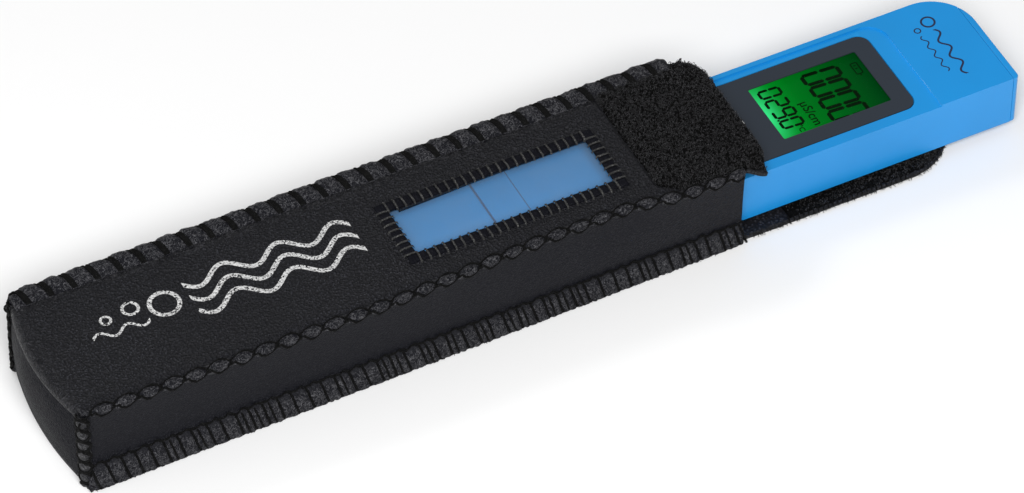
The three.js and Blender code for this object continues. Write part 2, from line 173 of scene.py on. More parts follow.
def sheet_mesh(columns, rows, place):
    """A grid whose every point is put in place by a function of (u, v), each from 0 to 1, in millimetres."""
    bm = bmesh.new()
    bmesh.ops.create_grid(bm, x_segments=columns, y_segments=rows, size=0.5)
    for v in bm.verts:
        v.co = Vector(place(v.co.x + 0.5, v.co.y + 0.5)) * MM
    return bm


def thicken(piece, thickness, offset=-1.0):
    """Gives a sheet its wall, inwards unless offset says otherwise."""
    solid = piece.modifiers.new("Thickness", "SOLIDIFY")
    solid.thickness = thickness * MM
    solid.offset = offset


def mesh_of(curve):
    """The mesh that a curve makes. The curve itself is removed."""
    made = bpy.data.objects.new(curve.name, curve)
    bpy.context.scene.collection.objects.link(made)
    bpy.context.view_layer.update()
    graph = bpy.context.evaluated_depsgraph_get()
    mesh = bpy.data.meshes.new_from_object(made.evaluated_get(graph))
    mesh.name = curve.name
    bpy.data.objects.remove(made)
    bpy.data.curves.remove(curve)
    return mesh


def strands(name, paths, radius, material, body, sides=2):
    """Round threads along the paths, in millimetres, as one closed mesh each."""
    curve = bpy.data.curves.new(name, "CURVE")
    curve.dimensions = "3D"
    curve.bevel_depth = radius * MM
    curve.bevel_resolution = sides - 1
    curve.use_fill_caps = True
    for path in paths:
        spline = curve.splines.new("POLY")
        spline.points.add(len(path) - 1)
        for point, p in zip(spline.points, path):
            point.co = (p[0] * MM, p[1] * MM, p[2] * MM, 1)
    mesh = mesh_of(curve)
    mesh.shade_smooth()
    return link_piece(name, mesh, material, body)


def loose_fibre(rng, root, side, reach, sway, rise, arch):
    """A short fibre that stands out of a cut edge. The last four are ranges for its random shape."""
    out = rng.uniform(*reach)
    tip = root + Vector((rng.uniform(*sway), side * out, rng.uniform(*rise)))
    middle = (root + tip) / 2 + Vector((0, 0, rng.uniform(*arch)))
    tip.z, middle.z = max(FIBRE_LOW, tip.z), max(FIBRE_LOW, middle.z)
    return [root, middle, tip]


SAME_PLACE = 2e-6  # metres: corners closer than this are one corner
FLAT_ANGLE = math.radians(1)  # faces that turn less than this are one face
SHARP_ANGLE = math.radians(35)  # edges that turn more than this may be rounded
CREASE_ANGLE = math.radians(38)  # edges that turn more than this are shaded sharp


def eased_copy(node, name, rounds, material, body):
    """A copy of a CAD node with its edges rounded.

    rounds holds (test of an edge's ends, width in millimetres, segments).
    """
    bm = bmesh.new()
    bm.from_mesh(NODES[node].data)
    bmesh.ops.remove_doubles(bm, verts=bm.verts, dist=SAME_PLACE)
    bmesh.ops.dissolve_limit(bm, angle_limit=FLAT_ANGLE, verts=bm.verts, edges=bm.edges)
    for test, width, segments in rounds:
        bm.normal_update()
        sharp = [
            e
            for e in bm.edges
            if len(e.link_faces) == 2
            and e.calc_face_angle() > SHARP_ANGLE
            and all(test(v.co / MM) for v in e.verts)
        ]
        if sharp:
            bmesh.ops.bevel(
                bm,
                geom=sharp,
                offset=width * MM,
                offset_type="OFFSET",
                segments=segments,
                profile=0.5,
                affect="EDGES",
                clamp_overlap=True,
                material=-1,
            )
    bmesh.ops.triangulate(bm, faces=bm.faces)
    piece = new_object(name, bm, material, body)
    piece.data.set_sharp_from_angle(angle=CREASE_ANGLE)
    even = piece.modifiers.new("Even shading", "WEIGHTED_NORMAL")
    even.keep_sharp = True
    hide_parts(node)
    return piece


# ---- Node helpers ----------------------------------------------------------------------------------


def add(tree, kind, inputs=None, **props):
    """A node with its properties set, and its inputs linked or given values."""
    node = tree.nodes.new(kind)
    for key, value in props.items():
        setattr(node, key, value)
    for key, value in (inputs or {}).items():
        if isinstance(value, bpy.types.NodeSocket):
            tree.links.new(value, node.inputs[key])
        else:
            node.inputs[key].default_value = value
    return node


def calc(tree, operation, *values):
    """A Math node's result."""
    return add(tree, "ShaderNodeMath", dict(enumerate(values)), operation=operation).outputs[0]


def blend_colours(tree, factor, a, b):
    """Colour a mixed towards colour b."""
    node = tree.nodes.new("ShaderNodeMix")
    node.data_type = "RGBA"
    for socket, value in ((node.inputs[0], factor), (node.inputs[6], a), (node.inputs[7], b)):
        if isinstance(value, bpy.types.NodeSocket):
            tree.links.new(value, socket)
        else:
            socket.default_value = value
    return node.outputs[2]


def remap(tree, value, low_in, high_in, low_out=0.0, high_out=1.0):
    """A value taken from one range to another, and held within it."""
    ranges = {"From Min": low_in, "From Max": high_in, "To Min": low_out, "To Max": high_out}
    return add(tree, "ShaderNodeMapRange", {"Value": value, **ranges}).outputs[0]


def cloud(tree, place, scale, detail, **more):
    """Noise: its Fac and Color outputs. more holds other inputs of the node."""
    values = {"Vector": place, "Scale": scale, "Detail": detail, **more}
    return add(tree, "ShaderNodeTexNoise", values).outputs


def relief(tree, height, strength, distance):
    """The normal of a surface that a height makes uneven, with the distance in metres."""
    values = {"Strength": strength, "Distance": distance, "Height": height}
    return add(tree, "ShaderNodeBump", values).outputs[0]


def new_group(name, inputs, outputs):
    """An empty node group with named sockets: (name, kind, default) in and (name, kind) out."""
    tree = bpy.data.node_groups.new(name, "ShaderNodeTree")
    for label, kind, default in inputs:
        socket = tree.interface.new_socket(label, in_out="INPUT", socket_type="NodeSocket" + kind)
        socket.default_value = default
    for label, kind in outputs:
        tree.interface.new_socket(label, in_out="OUTPUT", socket_type="NodeSocket" + kind)
    return tree, tree.nodes.new("NodeGroupInput").outputs, tree.nodes.new("NodeGroupOutput")


def use_group(tree, name, **inputs):
    """A shared effect with this material's own values: the outputs of its group."""
    node = tree.nodes.new("ShaderNodeGroup")
    node.node_tree = bpy.data.node_groups[name]
    for key, value in inputs.items():
        socket = node.inputs[key.replace("_", " ")]
        if isinstance(value, bpy.types.NodeSocket):
            tree.links.new(value, socket)
        else:
            socket.default_value = value
    return node.outputs


def object_place(tree):
    """Where on the object a point is, in metres."""
    return add(tree, "ShaderNodeTexCoord").outputs["Object"]


def axes(tree, place):
    """The X, Y and Z of a place."""
    return add(tree, "ShaderNodeSeparateXYZ", {0: place}).outputs


def shader(name, **constants):
    """A new material: its tree and its Principled BSDF, with the plain values set on the shader itself."""
    material = bpy.data.materials.new(name)
    material.use_nodes = True
    tree = material.node_tree
    principled = tree.nodes["Principled BSDF"]
    for key, value in constants.items():
        principled.inputs[key.replace("_", " ")].default_value = value
    return material, tree, principled


# ---- Shared effects --------------------------------------------------------------------------------

SURFACE = [("Colour", "Color"), ("Roughness", "Float"), ("Normal", "Vector")]  # what a finish puts out
GRAIN_DEPTH = 0.0006  # metres, for the leather's bumps
FINE_DEPTH = 0.0001  # metres, for the bumps of plastic and thread
SCRATCH_DEPTH = 0.00005  # metres, for the scratches of metal
PRINT_DEPTH = 0.002  # metres: print stays above this depth below its centre


def make_leather_grain():
    """Pebbled leather. Where Gather is 1 it is creased and shinier, as between tight stitches, and the crests
    of its creases are lightened with a painted highlight.
    """
    tree, given, out = new_group(
        "leather_grain",
        [
            ("Colour", "Color", (0.02, 0.02, 0.022, 1)),
            ("Worn", "Color", (0.06, 0.06, 0.065, 1)),
            # the painted highlight: a light colour on the crests of creases, standing in for glints
            ("Painted Highlight", "Color", (0.1, 0.1, 0.108, 1)),
            ("Cell Size", "Float", 0.0006),
            ("Depth", "Float", 0.6),
            ("Gather", "Float", 0.0),
        ],
        SURFACE,
    )
    place = object_place(tree)
    scale = calc(tree, "DIVIDE", 1.0, given["Cell Size"])
    warp = cloud(tree, place, 1100.0, 2.0)["Color"]
    shifted = add(
        tree,
        "ShaderNodeVectorMath",
        {0: warp, 1: (0.0006, 0.0006, 0.0006), 2: place},
        operation="MULTIPLY_ADD",
    )
    cells = add(
        tree,
        "ShaderNodeTexVoronoi",
        {"Vector": shifted.outputs[0], "Scale": scale, "Smoothness": 0.4},
        feature="SMOOTH_F1",
    )
    fine = cloud(tree, place, 3000.0, 3.0)["Fac"]
    pebbles = calc(tree, "MULTIPLY_ADD", cells.outputs["Distance"], -1.0, fine)
    creased = cloud(tree, place, 1000.0, 4.0, Distortion=1.6)["Fac"]
    ridges = calc(tree, "ABSOLUTE", calc(tree, "SUBTRACT", creased, 0.5))
    creases = calc(tree, "MULTIPLY", ridges, -7.0)
    apart = calc(tree, "SUBTRACT", creases, pebbles)
    height = calc(tree, "MULTIPLY_ADD", apart, given["Gather"], pebbles)
    patches = cloud(tree, place, 55.0, 4.0)["Fac"]
    wear = remap(tree, patches, 0.4, 0.75, 0.5, 1.0)
    raised = remap(tree, cells.outputs["Distance"], 0.42, 0.16)
    # Painted highlight: the thin crests of the creases are lightened towards the highlight colour, more where
    # the leather is gathered.
    crest = remap(tree, ridges, 0.036, 0.006)
    rubbed = blend_colours(tree, calc(tree, "MULTIPLY", wear, raised), given["Colour"], given["Worn"])
    painted_highlight_share = calc(tree, "MULTIPLY", crest, given["Gather"])
    tree.links.new(blend_colours(tree, painted_highlight_share, rubbed, given["Painted Highlight"]), out.inputs["Colour"])
    rough = calc(tree, "MULTIPLY_ADD", given["Gather"], -0.12, 0.4)
    rough = calc(tree, "MULTIPLY_ADD", cells.outputs["Distance"], 0.2, rough)
    tree.links.new(rough, out.inputs["Roughness"])
    tree.links.new(relief(tree, height, given["Depth"], GRAIN_DEPTH), out.inputs["Normal"])


def make_moulded():
    """Moulded plastic: a faint orange-peel surface and slow changes of tone and gloss."""
    tree, given, out = new_group(
        "moulded_plastic",
        [
            ("Colour", "Color", (0.5, 0.5, 0.5, 1)),
            ("Roughness", "Float", 0.4),
            ("Texture", "Float", 0.05),
        ],
        SURFACE,
    )
    place = object_place(tree)
    tone = cloud(tree, place, 40.0, 3.0)["Fac"]
    peel = cloud(tree, place, 2600.0, 2.0)["Fac"]
    darker = add(tree, "ShaderNodeHueSaturation", {"Value": 0.9, "Color": given["Colour"]}).outputs[0]
    toned = blend_colours(tree, remap(tree, tone, 0.35, 0.7), given["Colour"], darker)
    tree.links.new(toned, out.inputs["Colour"])
    smudge = remap(tree, tone, 0.3, 0.75, -0.05, 0.07)
    tree.links.new(calc(tree, "ADD", given["Roughness"], smudge), out.inputs["Roughness"])
    tree.links.new(relief(tree, peel, given["Texture"], FINE_DEPTH), out.inputs["Normal"])


def make_fibre():
    """Twisted thread or pile: fine slanted plies with loose, paler fibres. Where the Loose colour is bright it
    is a painted glint.
    """
    tree, given, out = new_group(
        "fibre",
        [
            ("Colour", "Color", (0.01, 0.01, 0.01, 1)),
            ("Loose", "Color", (0.08, 0.08, 0.08, 1)),
            ("Ply", "Float", 3000.0),
        ],
        SURFACE,
    )
    place = object_place(tree)
    plies = add(
        tree,
        "ShaderNodeTexWave",
        {"Vector": place, "Scale": given["Ply"], "Distortion": 4.0, "Detail": 2.0},
        bands_direction="DIAGONAL",
    )
    loose = remap(tree, cloud(tree, place, 5200.0, 3.0)["Fac"], 0.56, 0.72)
    tree.links.new(blend_colours(tree, loose, given["Colour"], given["Loose"]), out.inputs["Colour"])
    tree.links.new(remap(tree, plies.outputs["Fac"], 0, 1, 0.5, 0.85), out.inputs["Roughness"])
    tree.links.new(relief(tree, plies.outputs["Fac"], 0.6, FINE_DEPTH), out.inputs["Normal"])


def make_brushed():
    """Machined or stamped metal with fine scratches."""
    tree, given, out = new_group(
        "brushed_metal",
        [("Colour", "Color", (0.6, 0.6, 0.6, 1)), ("Roughness", "Float", 0.3)],
        SURFACE,
    )
    place = object_place(tree)
    long_way = add(tree, "ShaderNodeMapping", {"Vector": place, "Scale": (300.0, 9000.0, 9000.0)})
    scratches = cloud(tree, long_way.outputs[0], 1.0, 4.0)["Fac"]
    dull = add(tree, "ShaderNodeHueSaturation", {"Value": 0.72, "Color": given["Colour"]}).outputs[0]
    tree.links.new(blend_colours(tree, scratches, given["Colour"], dull), out.inputs["Colour"])
    scuffed = remap(tree, scratches, 0.3, 0.7, -0.08, 0.12)
    tree.links.new(calc(tree, "ADD", given["Roughness"], scuffed), out.inputs["Roughness"])
    tree.links.new(relief(tree, scratches, 0.08, SCRATCH_DEPTH), out.inputs["Normal"])


def from_centre(tree, centre):
    """The X, Y and Z of a point, measured from a centre."""
    apart = add(tree, "ShaderNodeVectorMath", {0: object_place(tree), 1: centre}, operation="SUBTRACT")
    return axes(tree, apart.outputs[0])


def make_wave_mark():
    """A printed wavy line: 1 on the line and 0 off it."""
    tree, given, out = new_group(
        "wave_mark",
        [
            ("Centre", "Vector", (0.0, 0.0, 0.0)),
            ("Amplitude", "Float", 0.002),
            ("Wavelength", "Float", 0.012),
            ("Half Length", "Float", 0.02),
            ("Half Stroke", "Float", 0.0005),
            ("Turned", "Float", 0.0),
        ],
        [("Mask", "Float")],
    )
    x, y, z = from_centre(tree, given["Centre"])
    # Turned 1 runs the line along Y, and 0 along X.
    along = calc(tree, "MULTIPLY_ADD", given["Turned"], calc(tree, "SUBTRACT", y, x), x)
    across = calc(tree, "MULTIPLY_ADD", given["Turned"], calc(tree, "SUBTRACT", x, y), y)
    rate = calc(tree, "DIVIDE", math.tau, given["Wavelength"])
    phase = calc(tree, "MULTIPLY", along, rate)
    crest = calc(tree, "MULTIPLY", calc(tree, "SINE", phase), given["Amplitude"])
    steep = calc(tree, "MULTIPLY", calc(tree, "COSINE", phase), given["Amplitude"])
    steep = calc(tree, "MULTIPLY", steep, rate)
    lean = calc(tree, "SQRT", calc(tree, "MULTIPLY_ADD", steep, steep, 1.0))
    off = calc(tree, "DIVIDE", calc(tree, "ABSOLUTE", calc(tree, "SUBTRACT", across, crest)), lean)
    on_line = calc(tree, "LESS_THAN", off, given["Half Stroke"])
    on_length = calc(tree, "LESS_THAN", calc(tree, "ABSOLUTE", along), given["Half Length"])
    upward = calc(tree, "GREATER_THAN", z, -PRINT_DEPTH)
    mask = calc(tree, "MULTIPLY", calc(tree, "MULTIPLY", on_line, on_length), upward)
    tree.links.new(mask, out.inputs["Mask"])


def make_ring_mark():
    """A printed ring, such as a bubble: 1 on the ring and 0 off it."""
    tree, given, out = new_group(
        "ring_mark",
        [
            ("Centre", "Vector", (0.0, 0.0, 0.0)),
            ("Radius", "Float", 0.002),
            ("Half Stroke", "Float", 0.0005),
        ],
        [("Mask", "Float")],
    )
    x, y, z = from_centre(tree, given["Centre"])
    squares = calc(tree, "MULTIPLY_ADD", x, x, calc(tree, "MULTIPLY", y, y))
    off = calc(tree, "SUBTRACT", calc(tree, "SQRT", squares), given["Radius"])
    on_ring = calc(tree, "LESS_THAN", calc(tree, "ABSOLUTE", off), given["Half Stroke"])
    upward = calc(tree, "GREATER_THAN", z, -PRINT_DEPTH)
    tree.links.new(calc(tree, "MULTIPLY", on_ring, upward), out.inputs["Mask"])


def make_shared_effects():
    make_leather_grain()
    make_moulded()
    make_fibre()
    make_brushed()
    make_wave_mark()
    make_ring_mark()


def wave(x, y, z, amplitude, wavelength, half_length, half_stroke, turned=0.0):
    """A printed wavy line, in millimetres. turned is 1 where it runs along Y."""
    return {
        "Centre": (x, y, z),
        "Amplitude": amplitude,
        "Wavelength": wavelength,
        "Half_Length": half_length,
        "Half_Stroke": half_stroke,
        "Turned": turned,
    }


def ring(x, y, z, radius, half_stroke):
    """A printed ring, in millimetres."""
    return {"Centre": (x, y, z), "Radius": radius, "Half_Stroke": half_stroke}


def ink(tree, waves, rings):
    """A mask of all the waves and rings that are printed in one place."""
    mask = None
    for kind, marks in (("wave_mark", waves), ("ring_mark", rings)):
        for mark in marks:
            sized = {
                k: tuple(MM * c for c in v) if k == "Centre" else v * (1 if k == "Turned" else MM)
                for k, v in mark.items()
            }
            one = use_group(tree, kind, **sized)["Mask"]
            mask = one if mask is None else calc(tree, "MAXIMUM", mask, one)
    return mask


# ---- Materials -------------------------------------------------------------------------------------

SCREEN = (low("face_label").x + 29.1, low("face_label").x + 55.6)  # the display's window along X
SCREEN_HALF = 8.3  # and half of it along Y
LAMP_Y = 0.5  # middle of the lamp's hot spot
LAMP_REACH = 6.8  # of the hot spot along X
LAMP_SQUEEZE = 0.42  # its reach along X as a share of its reach along Y


def linked(tree, principled, outputs):
    """Feeds a finish's outputs to its shader."""
    tree.links.new(outputs["Colour"], principled.inputs["Base Color"])
    tree.links.new(outputs["Roughness"], principled.inputs["Roughness"])
    tree.links.new(outputs["Normal"], principled.inputs["Normal"])


def leather_material(name, colour, worn, cell=0.5, depth=0.8, specular=0.22, marks=None, gathers=None):
    """Leather whose grain cells measure cell millimetres.

    gathers lists (axis, from, to), in millimetres: the leather is creased more and more over each, and the
    painted highlight on its crests grows with it.
    """
    material, tree, principled = shader(name, Specular_IOR_Level=specular)
    split = axes(tree, object_place(tree))
    gather = None
    for axis, start, end in gathers or ():
        one = remap(tree, split[axis], start * MM, end * MM)
        gather = one if gather is None else calc(tree, "MAXIMUM", gather, one)
    grain = use_group(
        tree,
        "leather_grain",
        Colour=(*colour, 1),
        Worn=(*worn, 1),
        Cell_Size=cell * MM,
        Depth=depth,
        Gather=0.0 if gather is None else gather,
    )
    linked(tree, principled, grain)
    if marks:
        crack = cloud(tree, object_place(tree), 2400.0, 3.0)["Fac"]
        held = calc(tree, "LESS_THAN", crack, 0.57)
        mask = calc(tree, "MULTIPLY", ink(tree, *marks), held)
        white = blend_colours(tree, mask, grain["Colour"], (0.72, 0.72, 0.72, 1))
        tree.links.new(white, principled.inputs["Base Color"])
    return material


def plastic_material(name, colour, roughness, texture, marks=None, ink_colour=None, specular=0.5):
    """Moulded plastic, printed with marks if there are any."""
    material, tree, principled = shader(name, Specular_IOR_Level=specular)
    values = {"Colour": (*colour, 1), "Roughness": roughness, "Texture": texture}
    moulded = use_group(tree, "moulded_plastic", **values)
    linked(tree, principled, moulded)
    if marks:
        inked = blend_colours(tree, ink(tree, *marks), moulded["Colour"], (*ink_colour, 1))
        tree.links.new(inked, principled.inputs["Base Color"])
    return material


def fibre_material(name, colour, loose, ply, specular=0.08):
    """Thread or pile, with the colour of its loose fibres; where that colour is bright it is a painted glint.
    """
    material, tree, principled = shader(name, Specular_IOR_Level=specular)
    linked(tree, principled, use_group(tree, "fibre", Colour=(*colour, 1), Loose=(*loose, 1), Ply=ply))
    return material


def metal_material(name, colour, roughness):
    """Bare metal with fine scratches."""
    material, tree, principled = shader(name, Metallic=1.0)
    brushed = use_group(tree, "brushed_metal", Colour=(*colour, 1), Roughness=roughness)
    linked(tree, principled, brushed)
    return material


def clear_material(name, colour, alpha, roughness, specular=0.5):
    """Clear sheet or lens: mostly see-through, with a faint haze that thickens in patches."""
    material, tree, principled = shader(name, IOR=1.46, Specular_IOR_Level=specular)
    haze = cloud(tree, object_place(tree), 120.0, 3.0)["Fac"]
    principled.inputs["Base Color"].default_value = (*colour, 1)
    see = remap(tree, haze, 0.3, 0.7, alpha * 0.9, alpha * 1.1)
    tree.links.new(see, principled.inputs["Alpha"])
    rough = remap(tree, haze, 0.3, 0.7, roughness * 0.8, roughness * 1.3)
    tree.links.new(rough, principled.inputs["Roughness"])
    return material


def lcd_material(name):
    """The lit display: brightest beside its lamp at the low-X edge, and dim at the other end."""
    material, tree, principled = shader(name, Emission_Strength=1.0, Roughness=0.35, Specular_IOR_Level=0.02)
    x, y, _ = axes(tree, object_place(tree))
    screen_low, screen_high = SCREEN[0] * MM, SCREEN[1] * MM
    run = remap(tree, x, screen_low, screen_high)
    glow = add(tree, "ShaderNodeValToRGB", {"Fac": run})
    stops = glow.color_ramp.elements
    stops[0].color = (0.0, 0.31, 0.016, 1)
    stops[1].color = (0.0, 0.03, 0.002, 1)
    stops.new(0.35).color = (0.0, 0.14, 0.004, 1)
    stops.new(0.62).color = (0.0, 0.085, 0.003, 1)
    # The lamp's hot spot is an ellipse, longer along Y.
    dx = calc(tree, "SUBTRACT", x, screen_low)
    dy = calc(tree, "MULTIPLY", calc(tree, "SUBTRACT", y, LAMP_Y * MM), LAMP_SQUEEZE)
    far = calc(tree, "SQRT", calc(tree, "MULTIPLY_ADD", dx, dx, calc(tree, "MULTIPLY", dy, dy)))
    hot = calc(tree, "POWER", remap(tree, far, 0.0, LAMP_REACH * MM, 1.0, 0.0), 2.2)
    lit = blend_colours(tree, hot, glow.outputs["Color"], (0.06, 1.0, 0.34, 1))
    tree.links.new(lit, principled.inputs["Emission Color"])
    # Painted light: the base colour is also lighter beside the lamp and darker at the far end, following its
    # glow.
    base_with_painted_glow = blend_colours(tree, run, (0.0, 0.04, 0.01, 1), (0.0, 0.02, 0.005, 1))
    tree.links.new(base_with_painted_glow, principled.inputs["Base Color"])
    return material


def case_print():
    """The waves and bubbles printed on the case."""
    x, y = (CLOSED + TAIL) / 2 + 6, 1.0
    large = {"amplitude": 1.9, "wavelength": 13.0, "half_length": 19.5, "half_stroke": 0.55}
    small = {"amplitude": 1.0, "wavelength": 6.5, "half_length": 6.5, "half_stroke": 0.32}
    waves = [wave(x + 12, y + shift, TOP, **large) for shift in (-3.4, 0.6, 4.6)]
    waves.append(wave(x - 24, y - 1.2, TOP, **small))
    bubbles = [
        ring(x - 13, y + 1.5, TOP, 3.2, 0.5),
        ring(x - 20, y + 3.4, TOP, 1.7, 0.35),
        ring(x - 26, y + 2.6, TOP, 1.1, 0.3),
    ]
    return waves, bubbles


def head_print():
    """The two waves, each with a bubble, printed across the head of the tester."""
    x, z = HEAD - 10.0, HOUSING_TOP
    large = {"amplitude": 0.85, "wavelength": 5.0, "half_length": 7.5, "half_stroke": 0.24}
    small = {"amplitude": 0.5, "wavelength": 3.0, "half_length": 6.0, "half_stroke": 0.15}
    waves = [wave(x + 0.4, -1.5, z, turned=1.0, **large), wave(x - 3.0, -0.6, z, turned=1.0, **small)]
    return waves, [ring(x + 0.4, 8.6, z, 1.5, 0.24), ring(x - 3.0, 7.2, z, 0.7, 0.15)]


def make_materials(look):
    """Every finish, by name. look holds the colours that a user would change."""
    black, worn = tuple(look.leather), tuple(look.leather_worn)
    blue = tuple(look.housing)
    # Painted light: the side walls' leather is a 15% lighter copy of the same black, for the light that falls
    # on them.
    painted_lit_side = tuple(min(1.0, c * 1.15) for c in black)
    dull = tuple(c * 0.4 for c in worn)
    return {
        "leather_top": leather_material(
            "leather_top",
            black,
            worn,
            cell=0.55,
            depth=1.0,
            specular=0.26,
            marks=case_print(),
            gathers=[(1, 12.5, 15.5), (0, CLOSED + 1.5, CLOSED - 5)],
        ),
        "leather_side": leather_material(
            "leather_side",
            painted_lit_side,
            dull,
            cell=0.45,
            depth=0.5,
            specular=0.12,
            gathers=[(2, 20.8, 21.4), (2, 5.8, 4.4)],
        ),
        "leather_gathered": leather_material(
            "leather_gathered", black, worn, cell=0.45, depth=0.8, specular=0.4, gathers=[(2, -1.0, 0.0)]
        ),
        "leather_end": leather_material("leather_end", black, dull, cell=0.45, depth=0.3, specular=0.03),
        "leather_flap": leather_material("leather_flap", black, worn, cell=0.8, depth=0.5),
        "thread": fibre_material("thread", (0.003, 0.003, 0.003), (0.025, 0.025, 0.025), 3200.0),
        # The binding thread's bright loose colour is a painted glint.
        "binding": fibre_material("binding", (0.02, 0.02, 0.02), (0.3, 0.3, 0.29), 3600.0, 0.5),
        "pile": fibre_material("pile", (0.001, 0.001, 0.001), (0.008, 0.008, 0.008), 2000.0, 0.06),
        # The standing loops' bright loose colour is a painted glint.
        "pile_tip": fibre_material("pile_tip", (0.004, 0.004, 0.005), (0.2, 0.2, 0.215), 3000.0, 0.4),
        "fray": fibre_material("fray", (0.02, 0.02, 0.02), (0.1, 0.1, 0.1), 5000.0),
        "film": clear_material("window_film", (0.36, 0.42, 0.5), 0.12, 0.3),
        "acrylic": clear_material("acrylic", (0.0, 0.0, 0.0), 0.03, 0.08, 0.04),
        "housing": plastic_material(
            "housing_blue", blue, 0.36, 0.05, head_print(), ink_colour=(0.012, 0.02, 0.06)
        ),
        # The dip line's darker blue is painted shade for the groove it stands for.
        "line": plastic_material("dip_groove_shade", tuple(0.35 * c for c in blue), 0.45, 0.02),
        "face": plastic_material("face_print", tuple(look.face), 0.34, 0.02),
        "lcd": lcd_material("lcd_glass"),
        "segments": plastic_material("lcd_segments", (0.001, 0.01, 0.002), 0.5, 0.0, specular=0.05),
        "white": plastic_material("white_plastic", (0.78, 0.79, 0.77), 0.4, 0.05),
        "white_ring": plastic_material("white_ring", (0.8, 0.8, 0.8), 0.35, 0.02),
        "rubber": plastic_material("grey_rubber", (0.03, 0.031, 0.038), 0.6, 0.2),
        "black": plastic_material("black_plastic", (0.012, 0.012, 0.013), 0.5, 0.15),
        "board": plastic_material("circuit_board", (0.01, 0.12, 0.035), 0.3, 0.1),
        "chip": plastic_material("chip_epoxy", (0.01, 0.01, 0.011), 0.35, 0.1),
        "steel": metal_material("steel", (0.6, 0.61, 0.62), 0.28),
        "titanium": metal_material("titanium", (0.42, 0.41, 0.39), 0.35),
        "spring": metal_material("spring_steel", (0.66, 0.6, 0.42), 0.3),
    }


MATERIALS = {}  # filled by the first operator

# ---- The leather case ------------------------------------------------------------------------------

TOP_PITCH = 5.3  # between the wraps of thread on a long top edge
TOP_START = CLOSED + 2  # the first of them
RUFFLE_SLANT = 1.5  # how far a whip stitch leans along the case
RUFFLE_PITCH = 3.3  # between the pairs of whip stitches on a bottom edge
RUFFLE_START = CLOSED + 1  # the first of them
PAIR_GAP = 1.3  # between the two whip stitches of a pair
CORNER_PITCH = 3.2  # between the crossings of thread down a corner
CORNER_START = 1.5  # the first of them
BEAD_SPAN = (8, 13)  # the profile points that make the rolled top edge
BEAD_CREST = 10.5  # its middle
RUFFLE_TOP = 3.25  # the profile point where the whip stitches begin
WALL_LEATHER = 0.9  # thickness of the side walls and the end wall
FRONT_LEATHER = 1.0  # of the front panel and the flap
BACK_LEATHER = 0.95
FRONT_NEAR, FRONT_FAR = -17.3, 16.4  # the front panel's long edges
WINDOW_LOW = low("window_stitching") + Vector((2.9, 2.3, 0))
WINDOW_HIGH = high("window_stitching") - Vector((2.7, 3.7, 0))
PATCH_LOW = low("loop_patch")
PATCH_HIGH = high("loop_patch")
WALL_DETAIL = 4  # rows of the grid between two profile points
FOLD = 1.75  # radius of the fold over the closed end
FOOT_FIBRES = 420  # loose ones along one bottom edge
FOOT_BOW = 2.2  # the bow of the closed end at its foot


def end_x(y, bow=None):
    """Where the closed end lies at y."""
    share = max(0.0, 1 - (y / WALL_Y) ** 2)
    return CLOSED - (BOW if bow is None else bow) * share


def nearest_stitch(x, pitch, start):
    """Signed distance to the nearest stitch of a row."""
    return (x - start + pitch / 2) % pitch - pitch / 2


def ruffle_jitter(x):
    """How far a whip stitch near x stands off its even place."""
    return 0.5 * lump(x, 3, 0, 4.0, 7.0)


def lean_in(x, side):
    """How far the near side's stitched top edge is drawn inwards beside the window."""
    return 1.9 * ramp(-45, 2, x) * (1 - ramp(16, 31, x)) if side < 0 else 0.0


def spread(x, side):
    """How far the near side's foot stands out: it is wider at the closed end than at the mouth."""
    return 0.7 - 1.7 * (x - CLOSED) / (MOUTH - CLOSED) if side < 0 else 0.0


def side_profile(side):
    """Points (y, z) up one side wall: the stitched foot, the wall and the rolled top edge."""
    foot = [(20.3, 0.3), (20.35, 1.7), (19.9, 3.7), (18.95, 5.6), (18.4, 7.4)]
    wall = [(18.35, 12.0), (18.5, 16.6), (18.7, 19.6)]
    if side < 0:
        bead = [(19.1, 20.6), (19.5, 21.3), (19.3, 22.15), (18.5, 22.6), (17.6, 22.3), (16.9, 21.5)]
    else:
        bead = [(19.5, 20.4), (20.0, 21.3), (19.75, 22.3), (18.6, 22.9), (16.9, 22.6), (15.0, 21.6)]
    return foot + wall + bead


def wall_path(side):
    """The side wall's profile as a smooth line, with WALL_DETAIL steps between two points."""
    return smooth_path([(*p, 0) for p in side_profile(side)], WALL_DETAIL)


def bead_centre(side, x):
    """The middle of the rolled top edge."""
    return (18.3 - lean_in(x, side), 21.5) if side < 0 else (17.9, 21.1)


